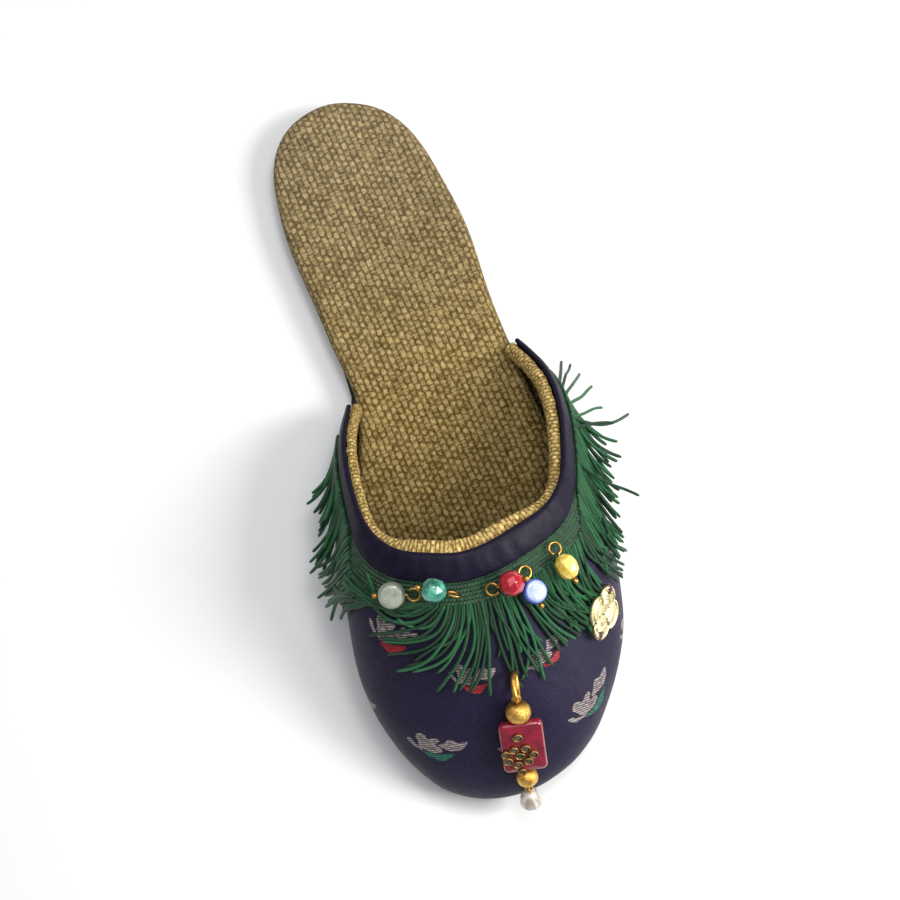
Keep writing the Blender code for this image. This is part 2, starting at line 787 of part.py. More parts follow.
def core_pin(top, foot, side):
    """Pin with an eye at both ends, both in the plane that faces side."""
    direction = unit(foot - top)
    first, second = frame_along(direction, side)
    path = []
    for turn in np.linspace(math.radians(-306.0), 0.0, 12):
        path.append(top + CORE_TOP_EYE * (math.cos(turn) * direction + math.sin(turn) * second))
    path.append(top + (CORE_TOP_EYE + 0.8) * direction)
    path.append(foot - (CORE_FOOT_EYE + 0.8) * direction)
    for turn in np.linspace(0.0, math.radians(306.0), 12):
        path.append(foot + CORE_FOOT_EYE * (-math.cos(turn) * direction + math.sin(turn) * second))
    return tube(np.array(path), [CORE_WIRE] * len(path), first, 6)


def tile_rim(half_wide, half_thick, corner):
    """Rounded rectangle of sixteen points."""
    rim = []
    for corner_x, corner_y, start in ((1, 1, 0), (-1, 1, 90), (-1, -1, 180), (1, -1, 270)):
        for step in range(4):
            turn = math.radians(start + 30.0 * step)
            x = corner_x * (half_wide - corner) + corner * math.cos(turn)
            y = corner_y * (half_thick - corner) + corner * math.sin(turn)
            rim.append((x, y))
    return np.array(rim)


def disc(centre, first, second, out, outline_points, height):
    """Low setting with a bevelled top edge, standing on the tile."""
    loops = []
    for size, level in ((1.0, 0.0), (1.0, height * 0.7), (0.86, height)):
        flat = size * outline_points
        loops.append(centre + flat[:, :1] * first + flat[:, 1:] * second + level * out)
    return lofted(loops, "face")


def circle_points(radius, count):
    turns = np.arange(count) * 2.0 * math.pi / count
    return radius * np.stack([np.cos(turns), np.sin(turns)], axis=1)


def flower_points():
    turns = np.linspace(0.0, 2.0 * math.pi, 42, endpoint=False)
    radius = 5.2 + 0.75 * np.cos(7.0 * turns - math.pi / 2.0)
    return radius[:, None] * np.stack([np.cos(turns), np.sin(turns)], axis=1)


def build():
    for old in list(bpy.data.objects):
        bpy.data.objects.remove(old)

    rubber = material("sole_rubber", (0.05, 0.045, 0.05), 0.7, 0.0)
    burlap = material("burlap", (0.45, 0.34, 0.16), 0.9, 0.0)
    brocade = material("brocade", (0.05, 0.035, 0.09), 0.6, 0.0)
    satin = material("binding_satin", (0.045, 0.03, 0.075), 0.45, 0.0)
    cord = material("fringe_cord", (0.02, 0.16, 0.06), 0.55, 0.0)
    gold = material("gold_wire", METALS["gold"], 0.3, 1.0)
    pale_gold = material("pale_gold", METALS["pale_gold"], 0.4, 1.0)
    brass = material("aged_brass", (0.45, 0.3, 0.12), 0.4, 1.0)
    glass = {
        "grey": material("bead_grey_glass", (0.5, 0.5, 0.46), 0.15, 0.0),
        "teal": material("bead_teal_glass", (0.1, 0.45, 0.4), 0.12, 0.0),
        "red": material("bead_red_glass", (0.6, 0.01, 0.03), 0.15, 0.0),
        "blue": material("bead_blue_glass", (0.4, 0.5, 0.8), 0.15, 0.0),
        "yellow": material("bead_yellow_glass", (0.85, 0.62, 0.05), 0.15, 0.0),
    }
    red_tile = material("red_tile_glass", (0.45, 0.01, 0.03), 0.2, 0.0)
    pearl = material("pearl", (0.85, 0.82, 0.78), 0.25, 0.0)

    add_solid("outsole", outsole(), rubber)
    add_solid("insole", insole(), burlap)
    add_solid("upper", upper(), brocade)
    add_solid("collar_binding", collar_binding(), satin)
    add_solid("fringe", fringe(), cord)

    flower, centre, long_way, out = charm()
    node = add_solid("gold_flower_charm", flower, pale_gold)
    charm_holes(node, centre, long_way, out)

    for name, *where in BEADS:
        bead, pin = bead_and_pin(*where)
        add_solid(f"bead_{name}", bead, glass[name])
        add_solid(f"headpin_{name}", pin, gold)

    # The pendant hangs from the bail and lies against the vamp.
    along = unit(PENDANT_WAY)
    off_vamp, side = frame_along(along, PENDANT_FACE)
    bail_along = unit(BAIL_WAY)
    bail_out, _ = frame_along(bail_along, BAIL_OUT)
    bail_middle = BAIL_TOP + BAIL_LONG * bail_along
    bail = ring_link(bail_middle, bail_along, bail_out, BAIL_LONG, BAIL_WIDE, BAIL_WIRE)
    add_solid("pendant_bail", bail, gold)
    # The upper eye hangs where the link's wire runs square to the pendant.
    turn = math.atan2(np.dot(along, bail_out) * BAIL_WIDE, np.dot(along, bail_along) * BAIL_LONG)
    top = bail_middle + BAIL_LONG * math.cos(turn) * bail_along + BAIL_WIDE * math.sin(turn) * bail_out
    foot = top + PENDANT_LONG * along
    add_solid("pendant_pin", core_pin(top, foot, off_vamp), gold)
    bore = CORE_WIRE + BORE_GAP
    clear_top = CORE_TOP_EYE + CORE_WIRE + 0.15
    clear_foot = CORE_FOOT_EYE + CORE_WIRE + 0.15
    upper_half = 3.5
    lower_half = 3.1
    upper_at = clear_top + upper_half
    lower_at = PENDANT_LONG - clear_foot - lower_half
    upper_rims = round_sections(4.3, upper_half, 1.6, 10, 6)
    lower_rims = round_sections(3.75, lower_half, 1.5, 10, 6)
    add_solid("pendant_bead_upper", bored(top + upper_at * along, along, side, upper_rims, bore), gold)
    add_solid("pendant_bead_lower", bored(top + lower_at * along, along, side, lower_rims, bore), gold)
    tile_top = upper_at + upper_half + 0.2
    tile_half = (lower_at - lower_half - 0.2 - tile_top) / 2.0
    tile_centre = top + (tile_top + tile_half) * along
    wide = tile_rim(TILE_HALF_WIDE, TILE_THICK / 2.0, 0.9)
    narrow = tile_rim(TILE_HALF_WIDE - 0.7, TILE_THICK / 2.0 - 0.6, 0.7)
    near_end = tile_half - 0.8
    sections = [(-tile_half, narrow), (-near_end, wide), (near_end, wide), (tile_half, narrow)]
    add_solid("pendant_tile", bored(tile_centre, along, side, sections, bore), red_tile)
    face = tile_centre + (TILE_THICK / 2.0 + 0.05) * off_vamp + SETTING_SHIFT * side
    flower = disc(face + 2.4 * along, -side, along, off_vamp, flower_points(), SETTING_HIGH)
    add_solid("tile_setting_flower", flower, brass)
    for name, reach in (("upper", -5.0), ("lower", 8.9)):
        small = disc(face + reach * along, -side, along, off_vamp, circle_points(1.5, 10), SETTING_HIGH)
        add_solid(f"tile_setting_{name}", small, brass)

    # The pearl hangs over the toe from the pendant's lower eye.
    drop = unit(PEARL_WAY)
    pearl_eye = foot + CORE_FOOT_EYE * unit(along + drop)
    pearl_at = clear_foot + 4.3
    _, crosswise = frame_along(drop, side)
    ball_at = pearl_at + 4.3 + 0.3 + BALL_RADIUS
    pearl_pin = headpin(pearl_eye, drop, crosswise, ball_at, CORE_FOOT_EYE, CORE_WIRE)
    add_solid("pearl_pin", pearl_pin, gold)
    shape = [(t * 4.3, size * circle_points(1.0, 10)) for t, size in PEARL_SHAPE]
    add_solid("pearl_drop", bored(pearl_eye + pearl_at * drop, drop, side, shape, bore), pearl)


build()
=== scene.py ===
"""Looks of the left babouche slipper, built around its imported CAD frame.

Lengths are written in millimetres in the shoe's own frame, as in part.py: the toe points to -Y,
the heel to +Y and +X is the lateral side. add_piece turns them into metres.
"""

import math

import bpy
import numpy as np
from mathutils import Matrix


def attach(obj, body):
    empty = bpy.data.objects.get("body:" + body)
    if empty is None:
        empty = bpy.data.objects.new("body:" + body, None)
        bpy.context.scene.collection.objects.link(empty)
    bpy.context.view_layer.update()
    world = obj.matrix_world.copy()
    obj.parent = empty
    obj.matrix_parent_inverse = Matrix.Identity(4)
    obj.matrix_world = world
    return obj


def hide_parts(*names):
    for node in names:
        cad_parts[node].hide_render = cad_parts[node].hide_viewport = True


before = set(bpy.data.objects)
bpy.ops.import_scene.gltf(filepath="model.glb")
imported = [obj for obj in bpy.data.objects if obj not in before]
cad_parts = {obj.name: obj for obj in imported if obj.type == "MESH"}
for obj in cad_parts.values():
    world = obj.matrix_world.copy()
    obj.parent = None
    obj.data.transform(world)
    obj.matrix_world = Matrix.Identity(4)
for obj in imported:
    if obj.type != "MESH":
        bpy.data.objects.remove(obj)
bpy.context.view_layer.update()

MM = 0.001
UP = np.array([0.0, 0.0, 1.0])
RNG = np.random.default_rng(11)

# --- Sizes that the looks share with part.py ------------------------------------------------

HEEL_Y = 132.0
GAP = 0.3
WALL = 2.4
SOLE_THICK = 4.0
INSOLE_BASE = 4.3
INSOLE_TOP = 12.0
SPRING_START = 200.0
SPRING_END = 260.0
SPRING_RISE = 3.5

INSOLE_EDGE = (
    # distance from the heel end, distance lateral of the axis
    (0.0, -4.0),
    (3.0, 8.5),
    (9.0, 17.5),
    (20.0, 25.0),
    (38.0, 31.0),
    (60.0, 36.0),
    (82.0, 37.8),
    (104.0, 40.8),
    (120.0, 43.8),
    (140.0, 48.0),
    (165.0, 53.0),
    (188.0, 55.0),
    (208.0, 53.2),
    (228.0, 47.0),
    (245.0, 36.5),
    (256.0, 21.5),
    (259.8, 4.5),
    (256.0, -10.5),
    (246.0, -21.0),
    (226.5, -29.0),
    (199.0, -32.0),
    (172.0, -29.5),
    (148.0, -25.0),
    (130.0, -21.0),
    (114.0, -18.4),
    (95.0, -22.0),
    (75.0, -25.8),
    (52.0, -30.2),
    (34.0, -31.2),
    (18.0, -29.2),
    (7.0, -22.3),
    (2.0, -14.0),
)

COLLAR = (
    # distance from the heel end, distance lateral of the axis, height
    (106.0, 43.6, 13.0),
    (114.0, 47.5, 20.0),
    (125.0, 51.0, 28.0),
    (138.0, 51.5, 34.5),
    (153.0, 49.0, 41.0),
    (165.0, 44.8, 46.5),
    (173.0, 38.0, 50.5),
    (178.0, 27.5, 54.3),
    (182.0, 16.0, 57.0),
    (183.0, 4.5, 58.2),
    (181.0, -4.0, 57.8),
    (177.0, -14.0, 55.3),
    (168.5, -21.2, 50.8),
    (156.0, -24.4, 45.0),
    (143.0, -25.2, 39.0),
    (131.0, -24.3, 32.5),
    (122.0, -22.3, 23.5),
    (116.0, -21.2, 13.0),
)
EDGE_STEPS = 1440
COLLAR_STEPS = 800
LATERAL_WING_S = 106.0
MEDIAL_WING_S = 116.0
THROAT_PLACE = (6.0, HEEL_Y - 183.0)
TOE_PLACE = (7.5, HEEL_Y - 260.0)

WALL_SHAPE = (
    # place, up, out, reach, lean in degrees
    (0.0, 9.0, 5.5, 58.0, 70.0),
    (0.12, 10.0, 5.5, 52.0, 68.0),
    (0.3, 12.5, 6.0, 36.0, 58.0),
    (0.5, 13.5, 6.0, 19.0, 27.0),
    (0.7, 12.0, 5.5, 12.0, 17.0),
    (0.88, 8.0, 3.0, 8.0, 11.0),
    (1.0, 3.0, 0.2, 3.0, 2.0),
)

HEADER_TOP = 8.4
HEADER_BOTTOM = 16.8
FRINGE_END = 0.86


# --- Lines and tables, as in part.py --------------------------------------------------------


def second_derivatives(points, spans, closed):
    """Curvature of a cubic spline at each of its points."""
    count = len(points)
    system = np.zeros((count, count))
    known = np.zeros((count, points.shape[1]))
    for i in range(count):
        if not closed and i in (0, count - 1):
            system[i, i] = 1.0
            continue
        before = spans[i - 1]
        after = spans[i]
        following = (i + 1) % count
        system[i, i - 1] += before
        system[i, i] += 2.0 * (before + after)
        system[i, following] += after
        rise_after = (points[following] - points[i]) / after
        rise_before = (points[i] - points[i - 1]) / before
        known[i] = 6.0 * (rise_after - rise_before)
    return np.linalg.solve(system, known)


def spline(points, closed, power):
    """Smooth line through the points. Power spaces them: 1 by length, 0.5 keeps corners soft."""
    points = np.array(points, float)
    spans = np.linalg.norm(np.roll(points, -1, axis=0) - points, axis=1) ** power
    bend = second_derivatives(points, spans, closed)
    line = []
    for i in range(len(points) if closed else len(points) - 1):
        j = (i + 1) % len(points)
        h = spans[i]
        t = np.linspace(0.0, 1.0, 40, endpoint=False)[:, None] * h
        curve = bend[i] * (h - t) ** 3 / (6.0 * h) + bend[j] * t**3 / (6.0 * h)
        curve += (points[i] / h - bend[i] * h / 6.0) * (h - t)
        curve += (points[j] / h - bend[j] * h / 6.0) * t
        line.append(curve)
    line.append(points[:1] if closed else points[-1:])
    return np.vstack(line)


def lengths_along(line):
    steps = np.linalg.norm(np.diff(line[:, :3], axis=0), axis=1)
    return np.concatenate([[0.0], np.cumsum(steps)])


def pick(line, fractions):
    """Rows of the line at these fractions of its length."""
    run = lengths_along(line)
    columns = [np.interp(np.array(fractions) * run[-1], run, column) for column in line.T]
    return np.stack(columns, axis=1)


def evenly(line, count):
    """The same line as this many points, even lengths apart."""
    return pick(line, np.linspace(0.0, 1.0, count))


def from_table(x, table, column):
    """Smooth value of one column of a table whose first column rises."""
    xs = np.array([row[0] for row in table], float)
    ys = np.array([row[column] for row in table], float)
    x = np.clip(x, xs[0], xs[-1])
    spans = np.diff(xs)
    slopes = np.diff(ys) / spans
    turns = np.concatenate([slopes[:1], np.zeros(len(xs) - 2), slopes[-1:]])
    for i in range(1, len(xs) - 1):
        if slopes[i - 1] * slopes[i] > 0.0:
            turns[i] = 2.0 * slopes[i - 1] * slopes[i] / (slopes[i - 1] + slopes[i])
    i = np.clip(np.searchsorted(xs, x, side="right") - 1, 0, len(xs) - 2)
    h = spans[i]
    t = (x - xs[i]) / h
    start = ys[i] * (1.0 + 2.0 * t) * (1.0 - t) ** 2 + turns[i] * h * t * (1.0 - t) ** 2
    end = ys[i + 1] * t * t * (3.0 - 2.0 * t) + turns[i + 1] * h * t * t * (t - 1.0)
    return start + end


def unit(vector):
    return vector / np.maximum(np.linalg.norm(vector, axis=-1, keepdims=True), 1e-12)


def ease(t):
    """0 to 1 with a soft start and end."""
    t = np.clip(t, 0.0, 1.0)
    return t * t * (3.0 - 2.0 * t)


def toe_spring(s):
    past = np.clip((s - SPRING_START) / (SPRING_END - SPRING_START), 0.0, None)
    return SPRING_RISE * past**2


def outline():
    """Edge of the insole as x, y and the outward direction, from the heel end by the lateral side."""
    edge = spline([(x, HEEL_Y - s) for s, x in INSOLE_EDGE], True, 0.5)
    edge = evenly(edge, EDGE_STEPS + 1)
    along = np.gradient(edge, axis=0)
    along[0] = along[-1] = edge[1] - edge[-2]
    outward = unit(np.stack([-along[:, 1], along[:, 0]], axis=1))
    if (outward * (edge - edge.mean(axis=0))).sum() < 0.0:
        outward = -outward
    return np.hstack([edge, outward])


EDGE = outline()


def two_halves(line, start, middle, end, fractions):
    """Rows at these fractions of the line from start to middle, and of that from middle to end."""
    first = pick(line[start : middle + 1], fractions)
    return np.vstack([first, pick(line[middle : end + 1], fractions[1:])])


def nearest(line, place):
    return int(np.argmin(np.linalg.norm(line[:, : len(place)] - np.array(place), axis=1)))


def wall_controls():
    """Control points of the wall's curves, collar to sole, at even places from -1 to 1."""
    count = 120
    foot = np.hstack([EDGE[:, :2] + (GAP + WALL) * EDGE[:, 2:], EDGE[:, 2:]])
    s = HEEL_Y - EDGE[:, 1]
    lateral_end, medial_end = [
        int(np.argmin(np.where(side * EDGE[:, 0] < 0.0, np.inf, np.abs(s - wing_end))))
        for side, wing_end in ((1.0, LATERAL_WING_S), (-1.0, MEDIAL_WING_S))
    ]
    toe = nearest(foot, TOE_PLACE)
    collar = evenly(spline([(x, HEEL_Y - s, z) for s, x, z in COLLAR], False, 1.0), COLLAR_STEPS + 1)
    along = unit(np.gradient(collar, axis=0))
    inward = unit(np.stack([along[:, 1], -along[:, 0]], axis=1))
    throat = nearest(collar, THROAT_PLACE)
    if inward[throat, 1] < 0.0:
        inward = -inward
    collar = np.hstack([collar, along, inward])

    fractions = np.linspace(0.0, 1.0, count + 1)
    foot = two_halves(foot, lateral_end, toe, medial_end, fractions)
    collar = two_halves(collar, 0, throat, COLLAR_STEPS, fractions)
    place = np.linspace(-1.0, 1.0, 2 * count + 1)

    up, out, reach, lean = [from_table(np.abs(place), WALL_SHAPE, k)[:, None] for k in (1, 2, 3, 4)]
    lean = np.radians(lean)
    outward = unit(foot[:, 2:4])
    bottom_height = SOLE_THICK + GAP + toe_spring(HEEL_Y - foot[:, 1])
    bottom = np.hstack([foot[:, :2], bottom_height[:, None]])
    above_bottom = bottom + np.hstack([outward * out, up])
    rising = np.hstack([unit(collar[:, 6:8]) * np.sin(lean), np.cos(lean)])
    along = collar[:, 3:6]
    rising -= 0.7 * (rising * along).sum(axis=1, keepdims=True) * along
    top = collar[:, :3]
    below_top = top - unit(rising) * reach
    return place, np.stack([top, below_top, above_bottom, bottom], axis=1)


# --- The vamp's outside as one grid ---------------------------------------------------------
# A place goes round the shoe from -1 (end of the lateral wing) over 0 (throat and toe) to 1 (end
# of the medial wing). A share goes down the wall, from 0 at the collar to 1 at the sole.


WALL_PLACES = np.linspace(-1.0, 1.0, 961)
WALL_SHARES = np.linspace(0.0, 1.0, 241)
CURVE_STEPS = 192


def wall_grid():
    """Points, directions down and outward, and lengths of the wall at even places and shares."""
    known, controls = wall_controls()
    flat = controls.reshape(len(known), 12)
    here = np.stack([np.interp(WALL_PLACES, known, column) for column in flat.T], axis=1)
    here = here.reshape(-1, 4, 1, 3)
    t = np.linspace(0.0, 1.0, CURVE_STEPS + 1)[:, None]
    curves = (1.0 - t) ** 3 * here[:, 0] + 3.0 * (1.0 - t) ** 2 * t * here[:, 1]
    curves = curves + 3.0 * (1.0 - t) * t**2 * here[:, 2] + t**3 * here[:, 3]
    points = np.stack([pick(curve, WALL_SHARES) for curve in curves])
    lengths = np.array([lengths_along(curve)[-1] for curve in curves])
    round_way = np.gradient(points, WALL_PLACES, axis=0)
    down_way = np.gradient(points, WALL_SHARES, axis=1)
    out = unit(np.cross(unit(round_way), unit(down_way)))
    return points, down_way, out, lengths


WALL_POINTS, WALL_DOWN, WALL_OUT, WALL_LENGTHS = wall_grid()


def sample(grid, place, share):
    """Values of the grid between its rows and columns."""
    rows, columns = len(WALL_PLACES) - 1, len(WALL_SHARES) - 1
    row = np.clip((np.asarray(place, float) + 1.0) / 2.0 * rows, 0.0, rows - 0.001)
    column = np.clip(np.asarray(share, float) * columns, 0.0, columns - 0.001)
    i = row.astype(int)
    j = column.astype(int)
    a = (row - i)[..., None]
    b = (column - j)[..., None]
    near = grid[i, j] * (1.0 - a) + grid[i + 1, j] * a
    far = grid[i, j + 1] * (1.0 - a) + grid[i + 1, j + 1] * a
    return near * (1.0 - b) + far * b


def wall_length(place):
    return np.interp(place, WALL_PLACES, WALL_LENGTHS)


def wall_axes(place, distance):
    """Directions to the medial side, down the wall and out of it."""
    share = np.clip(distance / wall_length(place), 0.0, 1.0)
    down = unit(sample(WALL_DOWN, place, share))
    out = unit(sample(WALL_OUT, place, share))
    return np.cross(down, out), down, out


def on_wall(place, distance, lift=0.0):
    """Points at a distance from the collar edge and a height off the cloth."""
    place, distance, lift = np.broadcast_arrays(place, distance, lift)
    length = wall_length(place)
    inside = np.clip(distance, 0.0, length)
    _, down, out = wall_axes(place, inside)
    point = sample(WALL_POINTS, place, inside / length)
    return point + (distance - inside)[..., None] * down + lift[..., None] * out


def round_lengths(distance):
    """Length along the wall from place -1 to each even place, at one distance from the collar."""
    return lengths_along(on_wall(WALL_PLACES, distance))


def collar_run(places):
    """Length along the collar edge from place -1."""
    return np.interp(places, WALL_PLACES, round_lengths(0.0))


def one_spot(place, distance):
    """A point on the wall, and the directions across, down and out of it there."""
    spot = np.array([place]), np.array([distance])
    return [way[0] for way in (on_wall(*spot), *wall_axes(*spot))]


# --- Pieces ---------------------------------------------------------------------------------


def grid_faces(rows, columns, round_rows=False, round_columns=False):
    """Quads between the points of a grid, whose rows or columns may close on themselves."""
    i = np.arange(rows if round_rows else rows - 1)[:, None]
    j = np.arange(columns if round_columns else columns - 1)[None, :]
    down = (i + 1) % rows
    along = (j + 1) % columns
    quads = [i * columns + j, i * columns + along, down * columns + along, down * columns + j]
    return np.stack([np.broadcast_to(q, (len(i), j.shape[1])) for q in quads], -1).reshape(-1, 4)


def add_object(name, data):
    thing = bpy.data.objects.new(name, data)
    bpy.context.scene.collection.objects.link(thing)
    return thing


def add_mesh(name, points, faces, surface):
    """Adds one mesh, in millimetres, with its material."""
    mesh = bpy.data.meshes.new(name)
    mesh.from_pydata((points * MM).tolist(), [], faces.tolist() if isinstance(faces, np.ndarray) else faces)
    mesh.materials.append(surface)
    return add_object(name, mesh)


def add_piece(name, points, faces, surface, body="shoe", stands_for=(), slot=None, fields=None,
              smooth=True):
    """Adds a mesh that rides on a body.

    Fields are one or two numbers at each of its points, whole or as a list of parts.
    """
    piece = add_mesh(name, points, faces, surface)
    mesh = piece.data
    for field, values in (fields or {}).items():
        values = np.concatenate(values) if isinstance(values, list) else values
        if values.ndim == 1:
            mesh.attributes.new(field, "FLOAT", "POINT").data.foreach_set("value", np.float32(values))
        else:
            vectors = np.zeros((len(values), 3), np.float32)
            vectors[:, :2] = values
            made = mesh.attributes.new(field, "FLOAT_VECTOR", "POINT")
            made.data.foreach_set("vector", vectors.ravel())
    if smooth:
        mesh.shade_smooth()
    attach(piece, body)
    if stands_for:
        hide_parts(*stands_for)
    return piece


def add_sheet(name, rows, surface, stands_for, slot, fields, inner=False, closed=False):
    """Adds cloth given as rows of points. Inner cloth shows its face to the inside of the shoe."""
    faces = grid_faces(len(rows), len(rows[0]), round_columns=closed)
    faces = faces if inner else faces[:, ::-1]
    return add_piece(name, np.vstack(rows), faces, surface, "shoe", stands_for, slot, fields)


def waves(points, scale, seed, count=7):
    """Smooth made-up unevenness from -1 to 1. Scale is the length of its waves."""
    rng = np.random.default_rng(seed)
    total = np.zeros(len(points))
    for _ in range(count):
        way = unit(rng.normal(size=points.shape[1])) * 2.0 * math.pi / (scale * rng.uniform(0.7, 1.6))
        total += np.sin(points @ way + rng.uniform(0.0, 2.0 * math.pi))
    return total / count * 1.6


def frame_along(direction, side):
    """Two directions that make a right-handed set with this one, the first nearest to side."""
    direction = unit(direction)
    first = unit(side - np.dot(side, direction) * direction)
    return first, np.cross(direction, first)


def even_turns(count):
    return np.arange(count) * 2.0 * math.pi / count


def circle(turns, first, second):
    """Unit circle in the plane of two directions."""
    return np.cos(turns)[:, None] * first + np.sin(turns)[:, None] * second


def ring_solid(rings):
    """Closed solid through rings of as many points each."""
    count = len(rings[0])
    faces = grid_faces(len(rings), count, round_columns=True).tolist()
    faces.append(list(range(count))[::-1])
    faces.append(list(range((len(rings) - 1) * count, len(rings) * count)))
    return np.vstack(rings), faces


def tube(path, radii, side, sides):
    """Closed tube along the path, with a radius at each of its points."""
    turns = even_turns(sides)
    tangents = unit(np.gradient(path, axis=0))
    rings = []
    first = side
    for point, radius, tangent in zip(path, np.broadcast_to(radii, len(path)), tangents):
        first, second = frame_along(tangent, first)
        rings.append(point + radius * circle(turns, first, second))
    return ring_solid(rings)


def joined(solids):
    """Several (points, faces) as one."""
    points = []
    faces = []
    for more_points, more_faces in solids:
        start = sum(len(p) for p in points)
        points.append(more_points)
        faces += [[k + start for k in face] for face in more_faces]
    return np.vstack(points), faces


# --- Materials ------------------------------------------------------------------------------

WOVEN = ("silver", "red", "green")
RIB_PITCH = 0.86
PLY_PITCH = 0.62
YARN_POWER = 0.8
RAYON_SHEEN = {"Sheen Weight": 0.08, "Sheen Roughness": 0.3}


def paint(colour):
    """Colour as the eye sees it, from 0 to 255, turned into light for the shader."""
    if isinstance(colour, Value):
        return colour
    seen = np.array(colour) / 255.0
    light = np.where(seen <= 0.04045, seen / 12.92, ((seen + 0.055) / 1.055) ** 2.4)
    return (*light.tolist(), 1.0)


def operator(operation, swapped=False):
    def work(self, other):
        return self.nodes.math(operation, *((other, self) if swapped else (self, other)))

    return work


class Value:
    """A value worked out in a material, which adds and multiplies like a number."""

    def __init__(self, nodes, socket):
        self.nodes = nodes
        self.socket = socket

    __add__ = operator("ADD")
    __radd__ = operator("ADD", swapped=True)
    __sub__ = operator("SUBTRACT")
    __rsub__ = operator("SUBTRACT", swapped=True)
    __mul__ = operator("MULTIPLY")
    __rmul__ = operator("MULTIPLY", swapped=True)
    __truediv__ = operator("DIVIDE")


class Nodes:
    """A new material and the steps that its values are worked out in."""

    def __init__(self, name, rough=0.5, metal=0.0):
        self.material = bpy.data.materials.new(name)
        self.material.use_nodes = True
        self.tree = self.material.node_tree
        self.shader = self.tree.nodes["Principled BSDF"]
        self.set({"Roughness": rough, "Metallic": metal})

    def put(self, socket, value):
        if isinstance(value, Value):
            self.tree.links.new(value.socket, socket)
        else:
            socket.default_value = value

    def set(self, values):
        """Gives the shader's own sockets numbers, colours or values."""
        for socket, value in values.items():
            self.put(self.shader.inputs[socket], value)

    def add(self, kind, inputs, output=0, **settings):
        """Adds a node, fills its inputs and gives one of its outputs."""
        node = self.tree.nodes.new(kind)
        for key, value in settings.items():
            setattr(node, key, value)
        for socket, value in inputs.items() if isinstance(inputs, dict) else enumerate(inputs):
            self.put(node.inputs[socket], value)
        return Value(self, node.outputs[output])

    def math(self, operation, *values):
        return self.add("ShaderNodeMath", values, operation=operation)

    def highest(self, first, *others):
        for other in others:
            first = self.math("MAXIMUM", first, other)
        return first

    def field(self, name, output="Fac"):
        return self.add("ShaderNodeAttribute", (), output, attribute_name=name)

    def fields(self, name):
        """The first two numbers of a field of vectors, and the vector itself."""
        vector = self.field(name, "Vector")
        u, v, _ = self.split(vector)
        return u, v, vector

    def place(self):
        """Place in the object, in millimetres."""
        return self.scaled(self.add("ShaderNodeTexCoord", (), "Object"), 1.0 / MM)

    def split(self, vector):
        x = self.add("ShaderNodeSeparateXYZ", (vector,))
        return [Value(self, socket) for socket in x.socket.node.outputs]

    def join(self, *numbers):
        return self.add("ShaderNodeCombineXYZ", numbers)

    def scaled(self, vector, factor):
        """A longer or shorter vector, or a lighter or darker colour."""
        if not isinstance(vector, Value):
            vector = paint(vector)[:3]
        return self.add("ShaderNodeVectorMath", {0: vector, "Scale": factor}, operation="SCALE")

    def noise(self, at, scale, detail=2.0, rough=0.5):
        """Smooth noise from about 0 to 1."""
        inputs = {"Vector": at, "Scale": scale, "Detail": detail, "Roughness": rough}
        return self.add("ShaderNodeTexNoise", inputs)

    def random(self, *at):
        """A number from 0 to 1 that jumps from one whole place to the next."""
        return self.add("ShaderNodeTexWhiteNoise", {"Vector": self.join(*at)}, noise_dimensions="3D")

    def ease(self, value, low, high, start=0.0, end=1.0):
        """Goes softly from start, where the value is low, to end, where it is high."""
        inputs = (value, low, high, start, end)
        return self.add("ShaderNodeMapRange", inputs, interpolation_type="SMOOTHSTEP")

    def blend(self, first, second, share):
        """Mix of two colours."""
        inputs = {"Factor": share, 6: paint(first), 7: paint(second)}
        return self.add("ShaderNodeMix", inputs, 2, data_type="RGBA")

    def relief(self, height):
        """Lets the light see a height given in millimetres, and gives the finished material."""
        normal = self.add("ShaderNodeBump", {"Distance": MM, "Strength": 1.0, "Height": height})
        self.set({"Normal": normal, "Coat Normal": normal})
        return self.material


def ridge(nodes, phase):
    """Rounded ridges, one to each whole step of the phase, from 0 in the grooves to 1."""
    wave = nodes.math("COSINE", (phase - nodes.math("ROUND", phase)) * (2.0 * math.pi))
    return nodes.math("POWER", wave * 0.5 + 0.5, 0.6)


